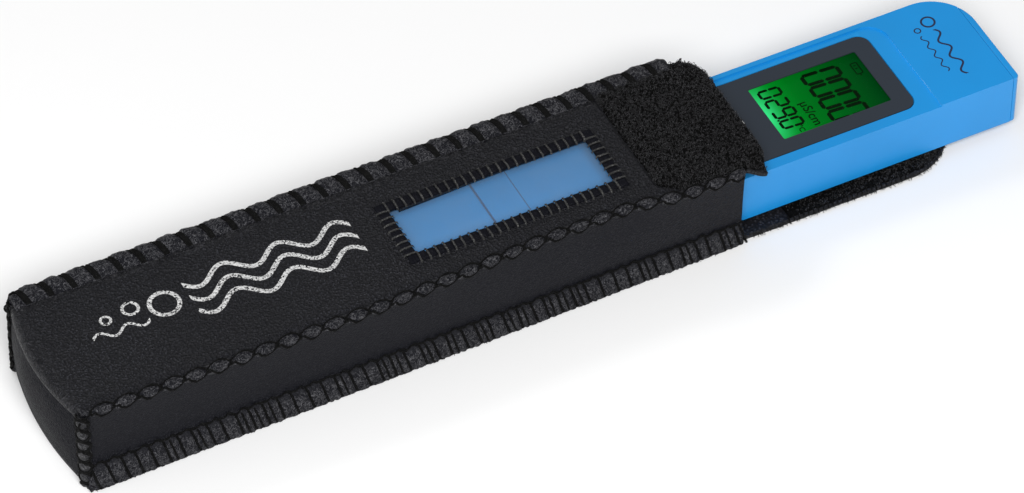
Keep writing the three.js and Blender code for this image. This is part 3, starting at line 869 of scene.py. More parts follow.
def wall_point(side, path, x, t):
    """A point on a side wall: t counts profile points from the foot to the tuck of the top edge."""
    k = min(len(path) - 1, round(t * WALL_DETAIL))
    y, z = path[k].x, path[k].y
    near = side < 0
    y -= lean_in(x, side) * ramp(9, 21, z)
    y += spread(x, side) * (1 - ramp(3, 9, z))
    # The rolled edge is drawn in where the thread crosses it, on a slant.
    roll = ramp(BEAD_SPAN[0] - 0.6, BEAD_SPAN[0] + 0.6, t) * (1 - ramp(12.3, 13, t))
    slant = (t - BEAD_CREST) * (0.2 if near else 0.5)
    gap = nearest_stitch(x - slant, TOP_PITCH, TOP_START)
    if near:
        pull = 0.6 * (1 - math.sin(math.pi * abs(gap) / TOP_PITCH) ** 0.8) - 0.08
    else:
        pull = 0.42 * bump(gap, 0.95) - 0.06 * math.cos(math.pi * gap / TOP_PITCH) ** 2
        roll *= 1 - 0.5 * ramp(11.5, 12.8, t)
    crumple = 0.09 * lump(x, y, z, 0.9, 6.0) + 0.12 * lump(x, y, z, 1.9, 1.0)
    cy, cz = bead_centre(side, x)
    pull = roll * (pull + crumple)
    y += (cy - y) * pull
    z += (cz - z) * pull
    # The foot is gathered between its whip stitches, which come in uneven pairs.
    foot = 1 - ramp(2.4, 3.4, t)
    across = x + ruffle_jitter(x) - RUFFLE_SLANT * (1 - t / RUFFLE_TOP)
    draw = bump(nearest_stitch(across, RUFFLE_PITCH, RUFFLE_START), 0.5)
    second = nearest_stitch(across, RUFFLE_PITCH, RUFFLE_START + PAIR_GAP)
    draw = max(draw, 0.6 * bump(second, 0.3))
    y -= foot * (0.6 * draw * ramp(-0.4, 0.6, t) - 0.15 - 0.24 * lump(x, 0.5 * z, 0, 0.75, 4.0))
    z += foot * 0.12 * draw
    # Fine gathers run up from the foot, and the wall itself is slightly uneven.
    gathers = bump(t - 3.7, 0.9)
    y += gathers * 0.16 * lump(x, 0.4 * z, 0, 0.8, 3.0)
    loose = ramp(3.5, 5.5, t) * (1 - ramp(7.2, 8.5, t))
    y += loose * (0.25 * lump(x, z, 0, 19.0, 5.0) + 0.08 * lump(x, z, 0, 6.0, 9.0))
    edge = 0.1 * lump(x, z, 2, 1.7, 2.0) * (1 - ramp(0.2, 1.2, t))
    return Vector((x, side * (y + edge), max(0.12, z + 0.4 * edge)))


def side_wall(side, name, node):
    """A side wall with its stitched foot and its rolled top edge, in one sheet."""
    path = wall_path(side)
    rows = len(path) - 1
    x0, x1 = CLOSED + 0.2, MOUTH

    def place(u, v):
        x = x0 + (x1 - x0) * u
        point = wall_point(side, path, x, v * rows / WALL_DETAIL)
        # The wall turns in a little at its closed end and at the mouth.
        point.y -= side * (1.1 * bump(x - x0, 1.4) + 0.35 * bump(x - x1, 1.2))
        return point

    bm = sheet_mesh(columns=420, rows=rows, place=place)
    piece = new_object(name, bm, MATERIALS["leather_side"], "case", outward=Vector((0, side, 0.2)))
    thicken(piece, WALL_LEATHER)
    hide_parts(node)


def top_height(x, y):
    """The front panel's upper surface."""
    z = TOP + 0.12 + 0.16 * lump(x, y, 0, 24.0, 1.0) + 0.05 * lump(x, y, 0, 6.0, 4.0)
    # It dips where it is drawn under the two rolled edges.
    z -= 0.5 * ramp(-15.4, -17.1, y - lean_in(x, -1)) + 0.35 * ramp(14.0, 16.0, y)
    # Thread gathers it beside the wide far edge.
    gap = nearest_stitch(x - 1.3, TOP_PITCH, TOP_START)
    z -= 0.4 * bump(gap, 0.8) * ramp(12.9, 15.0, y)
    z += 0.06 * lump(x, y, 0, 1.0, 3.0) * ramp(11.5, 14.0, y)
    # It is pressed down around the window.
    dx = max(WINDOW_LOW.x - x, x - WINDOW_HIGH.x)
    dy = max(WINDOW_LOW.y - y, y - WINDOW_HIGH.y)
    away = math.hypot(max(dx, 0), max(dy, 0)) if max(dx, dy) > 0 else 0
    z -= 0.22 * bump(away - 3.1, 0.7) + 0.25 * (1 - ramp(0.0, 1.0, away))
    # It is folded down over the closed end.
    inward = x - end_x(y)
    if inward < FOLD:
        z -= FOLD - math.sqrt(max(0.0, FOLD**2 - (FOLD - max(0.0, inward)) ** 2))
    # A raised welt stands behind the pile patch.
    welt = x - welt_x(y)
    z += 0.4 * bump(welt + 0.9, 0.8) - 0.4 * bump(welt, 0.35)
    # The lip droops at its near corner.
    z -= 2.8 * ramp(MOUTH - 0.5, LIP, x) * ramp(-12.5, -18, y) ** 1.5
    return z


def welt_x(y):
    """The line along which the pile patch begins: it sweeps towards the mouth at the near edge."""
    return PATCH_LOW.x - 0.8 + 4.5 * ramp(-12.5, -17.5, y) ** 1.5


def lip_reach(x, y):
    """Draws a point of the lip to its real outline: cut back at the far corner, and pointed at the near."""
    if x <= MOUTH:
        return x
    reach = 1 - 0.22 * ramp(9.0, 16.4, y) ** 2 - 0.25 * ramp(14.4, 17.2, y) ** 3 - 0.1 * ramp(-14, -17, y)
    return MOUTH + (x - MOUTH) * reach


def front_panel():
    """The front panel: folded over the closed end, cut out for the window, and reaching past the mouth."""
    x0, y0, y1 = CLOSED - BOW, FRONT_NEAR, FRONT_FAR
    fold = [0.0, 0.06, 0.2, 0.4, 0.65, 0.95, 1.3, FOLD]  # closer grid lines round the fold
    step = 0.5
    count = round((LIP - x0 - FOLD) / step)
    stations = [x0 + f for f in fold]
    stations += [stations[-1] + (LIP - stations[-1]) * (i + 1) / count for i in range(count)]
    rows = round((y1 - y0) / step)
    settle = CLOSED + 8  # from here on the grid lines run straight across

    def place(u, v):
        x = stations[min(len(stations) - 1, round(u * (len(stations) - 1)))]
        start = y0 + lean_in(x, -1)
        y = start + (y1 - start) * v
        y -= 0.9 * ramp(MOUTH, LIP, x) * (1 - v) ** 8
        if x < settle:
            x += (end_x(y) - x0) * (1 - ramp(x0, settle, x))
        x = lip_reach(x, y)
        if x > MOUTH:
            x += 0.12 * lump(x, y, 0, 2.2, 6.0) * (x - MOUTH) / (LIP - MOUTH)
        return Vector((x, y, top_height(x, y)))

    bm = sheet_mesh(columns=len(stations) - 1, rows=rows, place=place)
    inside = []
    for face in bm.faces:
        middle = face.calc_center_median() / MM
        if WINDOW_LOW.x < middle.x < WINDOW_HIGH.x and WINDOW_LOW.y < middle.y < WINDOW_HIGH.y:
            inside.append(face)
    bmesh.ops.delete(bm, geom=inside, context="FACES")
    piece = new_object("front_leather", bm, MATERIALS["leather_top"], "case", outward=Vector((0, 0, 1)))
    thicken(piece, FRONT_LEATHER)
    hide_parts("front_panel")


def end_wall():
    """The bowed wall at the closed end."""
    half = WALL_Y + 0.1
    foot = 0.2

    def place(u, v):
        y = -half + 2 * half * u
        z = foot + (TOP - foot - FOLD) * v
        share = max(0.0, 1 - (y / WALL_Y) ** 2)
        swell = math.sin(math.pi * min(1.0, v * 1.02))
        bow = FOOT_BOW * share + (BOW - FOOT_BOW) * share * ramp(0, 0.8, v) + 0.7 * swell * share**0.5
        x = CLOSED + 0.15 - bow
        x += 0.5 * ramp(0.06, 0.0, v)
        x += 0.14 * lump(0, y, z, 7.0, 8.0) + 0.1 * lump(0, y, 2 * z, 2.0, 2.0) * ramp(0.7, 0.95, v)
        return Vector((x, y, z))

    bm = sheet_mesh(columns=76, rows=44, place=place)
    piece = new_object("end_leather", bm, MATERIALS["leather_end"], "case", outward=Vector((-1, 0, 0)))
    thicken(piece, WALL_LEATHER)
    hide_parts("end_panel")


def back_panel():
    """The flat panel that the case rests on."""
    half = FLANGE_Y - 0.15

    def place(u, v):
        x = CLOSED + (MOUTH - CLOSED) * u
        y = -half - spread(x, -1) + (2 * half + spread(x, -1)) * v
        start = end_x(y, FOOT_BOW) + 0.3
        x = start + (MOUTH - start) * u
        draw = bump(nearest_stitch(x, RUFFLE_PITCH, RUFFLE_START), 0.5) * ramp(half - 1.2, half, abs(y))
        z = 0.05 + 0.3 * draw + 0.03 * (1 + lump(x, y, 0, 9.0, 3.0))
        return Vector((x, y * (1 - 0.006 * draw), z))

    bm = sheet_mesh(columns=230, rows=60, place=place)
    piece = new_object("back_leather", bm, MATERIALS["leather_flap"], "case", outward=Vector((0, 0, -1)))
    thicken(piece, BACK_LEATHER)
    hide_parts("back_panel")


def wall_strand(side, path, x0, x1, t0, t1, lift, steps=9):
    """A thread that lies on a side wall from (x0, t0) to (x1, t1)."""
    points = []
    for i in range(steps):
        s = i / (steps - 1)
        x, t = x0 + (x1 - x0) * s, t0 + (t1 - t0) * s
        tucked = lift * (math.sin(math.pi * s) ** 0.35 if 0 < s < 1 else -0.8)
        points.append(off_wall(side, path, x, t, tucked))
    return points


def off_wall(side, path, x, t, lift):
    """A point just off a side wall."""
    p = wall_point(side, path, x, t)
    cy, cz = bead_centre(side, x)
    out = Vector((0, p.y - side * cy, p.z - cz)) if t > 7.5 else Vector((0, side, 0.15))
    return p + out.normalized() * lift


def chain_strand(side, path, half_span, shift, phase, lift):
    """One of the two crossing threads that make a chain of almond-shaped loops along a top edge."""
    points = []
    x = TOP_START
    while x < MOUTH - 0.4:
        turn = (x + shift - TOP_START) / TOP_PITCH
        bulge = abs(math.sin(math.pi * turn)) ** 0.55
        t = BEAD_CREST + phase * half_span * bulge
        points.append(off_wall(side, path, x, t, lift + 0.1 * math.cos(math.tau * turn + phase)))
        x += 0.3
    return points


def seam_threads(side, name, node):
    """The stitches over a long top edge: a chain on the near side and thick slanted bars on the far one."""
    path = wall_path(side)
    wraps = []
    if side < 0:
        radius, slant, reach, offsets = 0.16, 0.5, (9.2, 11.8), (-0.2, 0.2)
        for k in (0.0, 0.32):
            wraps.append(chain_strand(side, path, 1.6, 0.0, 1, radius - 0.3 * k))
            wraps.append(chain_strand(side, path, 1.8, -0.5 - k, -1, radius - 0.3 * k))
    else:
        radius, slant, reach, offsets = 0.23, 1.25, (8.2, 12.9), (-0.5, -0.25, 0.0, 0.25, 0.5)
    x = TOP_START
    while x < MOUTH - 0.6:
        for k in offsets:
            wraps.append(wall_strand(side, path, x - slant + k, x + slant + k, *reach, 0.2, steps=13))
        x += TOP_PITCH
    piece = strands(name, wraps, radius, MATERIALS["thread"], "case")
    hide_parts(node)


def foot_threads(side, name, node):
    """Whip stitches round the foot of a side wall, and the wavy line that they hang from."""
    path = wall_path(side)
    rng = random.Random(11 if side < 0 else 12)
    paths = []
    x = RUFFLE_START
    while x < MOUTH - 0.8:
        start = x - ruffle_jitter(x)
        lean = RUFFLE_SLANT + rng.uniform(-0.2, 0.2)
        for k in (-0.18, 0.12):
            paths.append(wall_strand(side, path, start + k, start + lean + k, RUFFLE_TOP, -0.1, 0.14))
        if rng.random() < 0.4:
            start += PAIR_GAP
            for k in (0.0, 0.22):
                paths.append(wall_strand(side, path, start + k, start + lean + k, 3.1, 0.0, 0.12))
        x += RUFFLE_PITCH
    line = []
    x = CLOSED + 0.8
    while x < MOUTH - 0.2:
        t = 3.3 + 0.16 * math.sin(math.tau * x / RUFFLE_PITCH) + 0.12 * lump(x, 0, 0, 3.0)
        line.append(wall_point(side, path, x, t) + Vector((0, side * 0.16, 0.05)))
        x += 0.45
    upper = [p + Vector((0.3, side * 0.02, 0.35 + 0.12 * math.sin(2.3 * p.x))) for p in line]
    piece = strands(name, [*paths, line, upper], FOOT_THREAD, MATERIALS["thread"], "case")
    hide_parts(node)


def corner_point(side, angle, z, lift=0.0):
    """A point round the puckered roll of leather down a corner of the closed end."""
    gap = nearest_stitch(z, CORNER_PITCH, CORNER_START)
    pinch = 1 - math.sin(math.pi * abs(gap) / CORNER_PITCH) ** 0.8
    along, across = math.cos(angle), math.sin(angle)
    radius = 1.45 - 0.6 * pinch + 0.14 * lump(along, across, z, 0.9, 5.0) + lift
    lean = 0.5 * (1 - z / TOP)
    return Vector((CLOSED + 0.55 + radius * along, side * (WALL_Y - 0.75 + lean + radius * across), z))


def corner_chain(side, facing, phase, k, bottom, top):
    """One thread of the chain down a corner, from which phase 1 and phase -1 bulge opposite ways."""
    z, points = bottom + 0.4, []
    while z < top - 0.2:
        swing = 1.25 * abs(math.sin(math.pi * (z - CORNER_START) / CORNER_PITCH)) ** 0.7
        points.append(corner_point(side, facing + phase * (swing + k), z, 0.14))
        z += 0.22
    return points


def corner_wrap(side, facing, z):
    """A thread that crosses a corner at height z."""
    points = []
    for i in range(9):
        share = i / 8
        points.append(corner_point(side, facing - 1.3 + 2.6 * share, z + 0.9 * (share - 0.5), 0.12))
    return points


def corner_loop(side, facing):
    """A loose loop of thread near the top of a corner."""
    root = corner_point(side, facing, TOP - 4.2, 0.1)
    points = []
    for k in range(12):
        a = k * math.tau * 0.9 / 11
        swing = Vector((-0.7 * math.sin(a), 0.5 * side * math.sin(a), 1.1 - 1.1 * math.cos(a)))
        points.append(root + swing)
    return points


def corner_seam(side, word):
    """A corner of the closed end: its roll of leather, the chain of thread round it and a loose loop."""
    bottom, top = 0.5, TOP - 0.3

    def place(u, v):
        return corner_point(side, math.tau * u, bottom + (top - bottom) * v)

    bm = sheet_mesh(columns=28, rows=90, place=place)
    roll = new_object(f"{word}_corner_roll", bm, MATERIALS["leather_gathered"], "case")
    facing = math.radians(135)  # away from both walls
    paths = [corner_chain(side, facing, phase, k, bottom, top) for phase in (1, -1) for k in (0.0, 0.25)]
    z = CORNER_START
    while z < top - 0.5:
        paths += [corner_wrap(side, facing, z + k) for k in (-0.2, 0.2)]
        z += CORNER_PITCH
    paths.append(corner_loop(side, facing))
    piece = strands(f"{word}_corner_stitches", paths, CORNER_THREAD, MATERIALS["thread"], "case")
    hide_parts(f"{word}_corner_thread")


def frayed_foot(side, name):
    """Loose fibres along the cut edge of the two bottom layers."""
    shape = {"reach": (0.2, 0.65), "sway": (-0.5, 0.5), "rise": (-0.1, 0.3), "arch": (-0.1, 0.2)}
    rng = random.Random(31 if side < 0 else 32)
    paths = []
    for _ in range(FOOT_FIBRES):
        x = rng.uniform(CLOSED + 0.5, MOUTH - 0.5)
        z = rng.uniform(0.15, 1.9)
        root = Vector((x, side * (FLANGE_Y + spread(x, side) - 0.2), z))
        paths.append(loose_fibre(rng, root, side, **shape))
    strands(name, paths, FOOT_FIBRE, MATERIALS["fray"], "case", sides=1)


class WaterTesterCase(bpy.types.PropertyGroup):
    with_fray: BoolProperty(
        name="Frayed edges", description="Adds loose fibres along the cut leather edges", default=True
    )
    pile_height: FloatProperty(
        name="Pile height",
        description="How far the loops of the closure stand up",
        default=0.0007,
        min=0.0001,
        unit="LENGTH",
    )


class WaterTesterLook(bpy.types.PropertyGroup):
    leather: FloatVectorProperty(
        name="Leather", description="Colour of the leather", subtype="COLOR", default=(0.006, 0.0062, 0.0086)
    )
    leather_worn: FloatVectorProperty(
        name="Worn leather",
        description="Colour of the leather where it is rubbed",
        subtype="COLOR",
        default=(0.042, 0.043, 0.054),
    )
    housing: FloatVectorProperty(
        name="Housing", description="Colour of the housing", subtype="COLOR", default=(0.006, 0.262, 0.66)
    )
    face: FloatVectorProperty(
        name="Face",
        description="Colour of the printed face around the display",
        subtype="COLOR",
        default=(0.021, 0.029, 0.042),
    )


class WATER_TESTER_OT_case_leather(bpy.types.Operator):
    """Builds the case's front, back, side and end leather"""

    bl_idname = "water_tester.case_leather"
    bl_label = "Case leather"

    def execute(self, context):
        front_panel()
        back_panel()
        end_wall()
        side_wall(-1, "near_side_leather", "near_gusset")
        side_wall(1, "far_side_leather", "far_gusset")
        return {"FINISHED"}


class WATER_TESTER_OT_case_seams(bpy.types.Operator):
    """Sews the case along its top edges, its feet and the corners of its closed end, and frays its feet"""

    bl_idname = "water_tester.case_seams"
    bl_label = "Case seams"

    def execute(self, context):
        for side, word in ((-1, "near"), (1, "far")):
            seam_threads(side, f"{word}_top_stitches", f"{word}_top_thread")
            foot_threads(side, f"{word}_foot_stitches", f"{word}_bottom_thread")
            corner_seam(side, word)
            if context.scene.water_tester_case.with_fray:
                frayed_foot(side, f"{word}_foot_fray")
        return {"FINISHED"}


# ---- The window ------------------------------------------------------------------------------------

BLOCK_REACH = 2.7  # from the window's edge to the outer end of its binding
BLOCK_PITCH = 2.0
BLOCK_GAP = 0.5  # between two blocks
BLOCK_HEIGHT = 0.6
BLOCK_BEVEL = 0.25


def leather_block(bm, middle, size, turn, z):
    """A block of the binding, sunk into the leather at z and rounded on top."""
    made = bmesh.ops.create_cube(
        bm,
        size=1.0,
        matrix=Matrix.Translation(Vector((*middle, z - 0.02)) * MM)
        @ Matrix.Rotation(turn, 4, "Z")
        @ Matrix.Diagonal((size.x * MM, size.y * MM, BLOCK_HEIGHT * MM, 1)),
    )
    edges = {e for v in made["verts"] for e in v.link_edges}
    top_edges = [e for e in edges if all(v.co.z > z * MM for v in e.verts)]
    bmesh.ops.bevel(
        bm,
        geom=top_edges,
        offset=BLOCK_BEVEL * MM,
        segments=2,
        profile=0.5,
        affect="EDGES",
        material=-1,
    )


def window_stitch(base, out, lean, z):
    """A thread that comes up inside the window and goes down past its binding."""
    top = 0.36
    return [
        (*(base - out * 0.3), z - 0.3),
        (*(base - out * 0.1), z + top - 0.1),
        (*(base + out * 1.2 + lean * 0.5), z + top),
        (*(base + out * (BLOCK_REACH - 0.1) + lean), z + top - 0.12),
        (*(base + out * (BLOCK_REACH + 0.25) + lean), z - 0.25),
    ]


def window_blocks():
    """The bound edge of the window: short leather blocks with a thread in each gap."""
    lo, hi = WINDOW_LOW, WINDOW_HIGH
    right, up = Vector((1, 0)), Vector((0, 1))
    bm = bmesh.new()
    threads = []
    edges = [
        (Vector((lo.x, lo.y)), right, hi.x - lo.x, -up),
        (Vector((lo.x, hi.y)), right, hi.x - lo.x, up),
        (Vector((lo.x, lo.y)), up, hi.y - lo.y, -right),
        (Vector((hi.x, lo.y)), up, hi.y - lo.y, right),
    ]
    rng = random.Random(5)
    corner_size = Vector((BLOCK_REACH - BLOCK_GAP, BLOCK_REACH - BLOCK_GAP))
    for x, out_x in ((lo.x, -1), (hi.x, 1)):
        for y, out_y in ((lo.y, -1), (hi.y, 1)):
            middle = Vector((x + out_x * BLOCK_REACH / 2, y + out_y * BLOCK_REACH / 2))
            leather_block(bm, middle, corner_size, rng.uniform(-0.05, 0.05), top_height(*middle))
    for start, along, length, out in edges:
        count = round(length / BLOCK_PITCH)
        for i in range(count + 1):
            spot = start + along * (length * i / count)
            z = top_height(*(spot + out * 1.3))
            if i < count:
                middle = spot + along * (length / count / 2) + out * (BLOCK_REACH / 2 - 0.1)
                depth = BLOCK_REACH - 0.3 + rng.uniform(-0.2, 0.2)
                turn = math.atan2(along.y, along.x) + rng.uniform(-0.05, 0.05)
                leather_block(bm, middle, Vector((length / count - BLOCK_GAP, depth)), turn, z)
            lean = along * rng.uniform(-0.15, 0.15)
            threads += [window_stitch(spot + along * k, out, lean, z) for k in (-0.1, 0.1)]
    blocks = new_object("window_binding", bm, MATERIALS["leather_end"], "case")
    blocks.data.set_sharp_from_angle(angle=math.radians(60))
    stitches = strands("window_stitches", threads, WINDOW_THREAD, MATERIALS["binding"], "case")
    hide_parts("window_stitching")


class WATER_TESTER_OT_window(bpy.types.Operator):
    """Binds the window's edge and finishes its film"""

    bl_idname = "water_tester.window"
    bl_label = "Window"

    def execute(self, context):
        window_blocks()
        dress("window_film", "film")
        return {"FINISHED"}


# ---- Hook and loop ---------------------------------------------------------------------------------

PILE_STEP = 0.32  # the grid of the loop patch
PILE_RIM = 1.5  # how far in from its edge the pile thins out
PILE_RAGGED = 0.35  # how far its edge strays
LOOPS = 7000  # of them stand up out of the patch on the lip
HOOKS = 4200  # of them stand up out of the flap's patch


def loop_bed(lo, hi, surface, height):
    """The bed of matted pile on the lip, with a ragged edge."""

    def place(u, v):
        x = lo.x + (hi.x - lo.x) * u
        y = lo.y + (hi.y - lo.y) * v
        rim = min(u, 1 - u) * (hi.x - lo.x), min(v, 1 - v) * (hi.y - lo.y)
        x, y = surface.edge(x, y)
        near_rim = 1 - ramp(0, PILE_RIM, min(rim))
        x += near_rim * PILE_RAGGED * lump(x, y, 1, 1.0, 3)
        y += near_rim * PILE_RAGGED * lump(x, y, 5, 1.0, 6)
        mat = 0.55 + 0.5 * lump(x, y, 0, 0.75) + 0.3 * lump(x, y, 3, 0.4, 1)
        mat += 0.25 * lump(x, y, 0, 3.5, 2)
        return Vector((x, y, surface(x, y) + height * mat * (1 - 0.75 * near_rim**2)))

    columns, rows = round((hi.x - lo.x) / PILE_STEP), round((hi.y - lo.y) / PILE_STEP)
    bm = sheet_mesh(columns, rows, place)
    piece = new_object("loop_pile_bed", bm, MATERIALS["pile"], "case", outward=Vector((0, 0, 1)))
    thicken(piece, 0.5)
    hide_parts("loop_patch")


def pile_loops(name, count, spot, height, body, seed, radius):
    """Loose loops of nylon that stand up out of a bed of pile. spot gives a random place."""
    rng = random.Random(seed)
    paths = []
    for _ in range(count):
        p = spot(rng)
        a = rng.uniform(0, math.tau)
        span = Vector((math.cos(a), math.sin(a), 0)) * rng.uniform(0.12, 0.3)
        up = Vector((0, 0, height * rng.uniform(0.5, 1.15)))
        lean = Vector((rng.uniform(-0.3, 0.3), rng.uniform(-0.3, 0.3), 0))
        rising, crest = p - span * 0.7 + up * 0.8 + lean * 0.6, p + span * 0.4 + up + lean
        paths.append([p - span, rising, crest, p + span])
    piece = strands(name, paths, radius, MATERIALS["pile_tip"], body, sides=1)


class LipSurface:
    """The front panel's upper surface under the pile patch, and how the patch follows the lip's edge."""

    def __call__(self, x, y):
        return top_height(min(x, LIP), y) + 0.12

    def edge(self, x, y):
        """Draws a point of the patch's rectangle into the patch's real outline."""
        start, end = welt_x(y), lip_reach(LIP - 0.1, y)
        u = (x - PATCH_LOW.x) / (PATCH_HIGH.x - PATCH_LOW.x)
        return start + (end - start) * u, y


class WATER_TESTER_OT_loop_patch(bpy.types.Operator):
    """Covers the lip of the case with loop pile"""

    bl_idname = "water_tester.loop_patch"
    bl_label = "Loop patch"

    def execute(self, context):
        height = context.scene.water_tester_case.pile_height / MM
        surface = LipSurface()
        lo, hi = PATCH_LOW.copy(), PATCH_HIGH.copy()
        lo.y, hi.y = FRONT_NEAR, FRONT_FAR + 1.2
        loop_bed(lo, hi, surface, height)

        def spot(rng):
            x, y = surface.edge(rng.uniform(lo.x, hi.x), rng.uniform(lo.y, hi.y))
            return Vector((x, y, surface(x, y) + height * 0.35))

        pile_loops("loop_pile", LOOPS, spot, height * 0.75, "case", 41, LOOP_FIBRE)
        return {"FINISHED"}


# ---- The flap --------------------------------------------------------------------------------------

FLAP_CORNER = 15.0  # radius of its outline's two corners
NEAR_EXTRA = 1.1  # the flap is cut wider on its near side
HOOKS_START, HOOKS_END = MOUTH + 12.0, FLAP_END - 0.7
HOOKS_INSET = 0.7
HOOK_HEIGHT = 0.42
FLAP_STITCHES = 25  # along one edge
FLAP_FIBRES = 900


def flap_half(x, inset=0.0):
    """Half the flap's width at x, less an inset."""
    past = max(0.0, x - (FLAP_END - FLAP_CORNER))
    reach = max(0.0, FLAP_CORNER**2 - past**2)
    return FLAP_HALF - FLAP_CORNER + math.sqrt(reach) - inset


def on_flap(u, v, x0, x1, inset):
    """A point of the flap's outline: u runs along it and v across it."""
    x = x0 + (x1 - x0) * math.sin(math.pi / 2 * u) ** 0.9 if x1 >= FLAP_END - 2 else x0 + (x1 - x0) * u
    side = 2 * v - 1
    return x, side * (flap_half(x, inset) + (NEAR_EXTRA if side < 0 else 0.0))


def flap_rise(x, y):
    """How far the flap lies off the table."""
    edge = ramp(FLAP_HALF - 4, FLAP_HALF, abs(y))
    return 0.06 + 0.2 * edge * (0.5 + 0.5 * lump(x, y, 0, 7.0, 2.0))


def flap_edge(x, side):
    """How far the flap's edge lies from the middle line at x."""
    return flap_half(x) + (NEAR_EXTRA if side < 0 else 0.0)


def flap_leather():
    """The flap's leather, which lies nearly flat on the table from the mouth to its end."""

    def place(u, v):
        x, y = on_flap(u, v, MOUTH, FLAP_END - 0.05, 0.15)
        y += 0.12 * lump(x, y, 0, 1.6, 4.0) * ramp(FLAP_HALF - 2, FLAP_HALF, abs(y))
        return Vector((x, y, flap_rise(x, y)))

    bm = sheet_mesh(columns=120, rows=60, place=place)
    leather = new_object("flap_leather", bm, MATERIALS["leather_flap"], None, outward=Vector((0, 0, -1)))
    thicken(leather, FRONT_LEATHER)
    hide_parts("flap_panel")
    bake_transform(leather)


def hook_bed():
    """The flap's bed of hooks, with a ragged edge."""

    def place(u, v):
        x, y = on_flap(u, v, HOOKS_START, HOOKS_END, HOOKS_INSET)
        rim = 1 - ramp(0, 1.6, (1 - abs(2 * v - 1)) * flap_half(x, HOOKS_INSET))
        y += 0.5 * rim * lump(x, y, 0, 0.9, 3.0)
        mat = 0.35 + 0.4 * lump(x, y, 0, 0.7, 8.0) + 0.25 * lump(x, y, 0, 0.35, 9.0)
        return Vector((x, y, flap_rise(x, y) + 1.08 + 0.5 * mat * (1 - 0.6 * rim)))

    bm = sheet_mesh(columns=140, rows=100, place=place)
    bed = new_object("hook_bed", bm, MATERIALS["pile"], "flap", outward=Vector((0, 0, 1)))
    thicken(bed, 0.25)
    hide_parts("hook_patch")


def hook_spot(rng):
    """A random root for a hook. Hooks stand closer together along the two long edges."""
    u, v = rng.random() ** 0.8, rng.random()
    if rng.random() < 0.45:
        v = 0.02 + 0.1 * rng.random() if rng.random() < 0.5 else 0.88 + 0.1 * rng.random()
    x, y = on_flap(u, v, HOOKS_START, HOOKS_END, HOOKS_INSET - 0.45)
    return Vector((x, y, flap_rise(x, y) + 1.1))


def flap_fuzz():
    """Loose fibres along the flap's cut edge."""
    shape = {"reach": (0.15, 0.75), "sway": (-0.4, 0.4), "rise": (-0.2, 0.3), "arch": (-0.05, 0.2)}
    rng = random.Random(61)
    paths = []
    for _ in range(FLAP_FIBRES):
        x = rng.uniform(MOUTH + 3, FLAP_END - 2.5)
        side = rng.choice((-1, 1))
        y = flap_edge(x, side) - 0.15
        root = Vector((x, side * y, flap_rise(x, y) + rng.uniform(0.1, 0.95)))
        paths.append(loose_fibre(rng, root, side, **shape))
    fuzz = strands("flap_fuzz", paths, FLAP_FIBRE, MATERIALS["fray"], "flap", sides=1)


def flap_stitches():
    """The thread that holds the hooks down, over both edges of the flap."""
    paths = []
    for side in (-1, 1):
        for i in range(FLAP_STITCHES):
            x = HOOKS_START + (FLAP_END - FLAP_CORNER - HOOKS_START) * i / FLAP_STITCHES
            y = flap_edge(x, side)
            z = flap_rise(x, y)
            paths.append(
                [
                    (x, side * (y - 2.0), z + 1.15),
                    (x - 0.1, side * (y - 1.1), z + 1.3),
                    (x - 0.25, side * (y - 0.15), z + 1.1),
                    (x - 0.3, side * (y + 0.02), z + 0.5),
                ]
            )
    stitches = strands("flap_stitches", paths, FLAP_THREAD, MATERIALS["thread"], "flap")
    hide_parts("hook_patch_thread")


class WATER_TESTER_OT_flap(bpy.types.Operator):
    """Builds the flap, its patch of hooks and its stitched edge"""

    bl_idname = "water_tester.flap"
    bl_label = "Flap"

    def execute(self, context):
        flap_leather()
        hook_bed()
        pile_loops("hook_pile", HOOKS, hook_spot, HOOK_HEIGHT, "flap", 51, HOOK_FIBRE)
        flap_fuzz()
        flap_stitches()
        return {"FINISHED"}


# ---- The tester ------------------------------------------------------------------------------------


def dress(node, finish):
    """Gives a CAD node its finish."""
    mesh = NODES[node].data
    mesh.materials.clear()
    mesh.materials.append(MATERIALS[finish])


HOUSING_ROUND = 0.45  # width of the rounding along the housing's long edges
STEP_ROUND = 0.16  # round the recess of the face
DOOR_ROUND = 0.3
DIP_LINE = 8.4  # from the cap to the line that shows how deep to dip the tester


def housing_shell():
    """The front half of the housing, with its outer edges and the edge of its recess rounded."""
    lo, hi = low("front_shell"), high("front_shell")

    def shell_edge(p):
        outside = abs(abs(p.y) - TESTER_HALF) < 0.02 or p.x > hi.x - 12 and p.y > 4
        return outside and (p.z > hi.z - 0.7 or p.z < lo.z + 0.1) and p.x < hi.x + 0.01

    def face_step(p):
        return p.z > FACE - 0.05 and abs(p.y) < TESTER_HALF - 0.2

    rounds = [(shell_edge, HOUSING_ROUND, 3), (face_step, STEP_ROUND, 2)]
    body = eased_copy("front_shell", "housing_shell", rounds, MATERIALS["housing"], "tester")


def cap_shell():
    """The cap, with its outer edges rounded."""

    def cap_outside(p):
        return abs(abs(p.y) - TESTER_HALF) < 4.1 and (p.z > 15.4 or p.z < 2.8) or p.x < TAIL + 0.1

    rounds = [(cap_outside, HOUSING_ROUND, 3)]
    cap = eased_copy("probe_cap", "cap_shell", rounds, MATERIALS["housing"], "cap")


def battery_door():
    """The end of the battery drawer, with every edge rounded."""
    rounds = [(lambda p: True, DOOR_ROUND, 2)]
    cover = eased_copy("battery_cover", "battery_door", rounds, MATERIALS["housing"], "battery_drawer")


def dip_groove_shade():
    """The raised line across the front that shows how deep to dip the tester. Its darker blue is painted
    shade, standing in for the shade in the groove at that depth.
    """
    x, z = CAP_END + DIP_LINE, HOUSING_TOP - 0.5
    line = [(x, -TESTER_HALF + 0.6, z), (x, TESTER_HALF - 1.8, z)]
    mark = strands("dip_groove_shade", [line], 0.12, MATERIALS["line"], "tester")


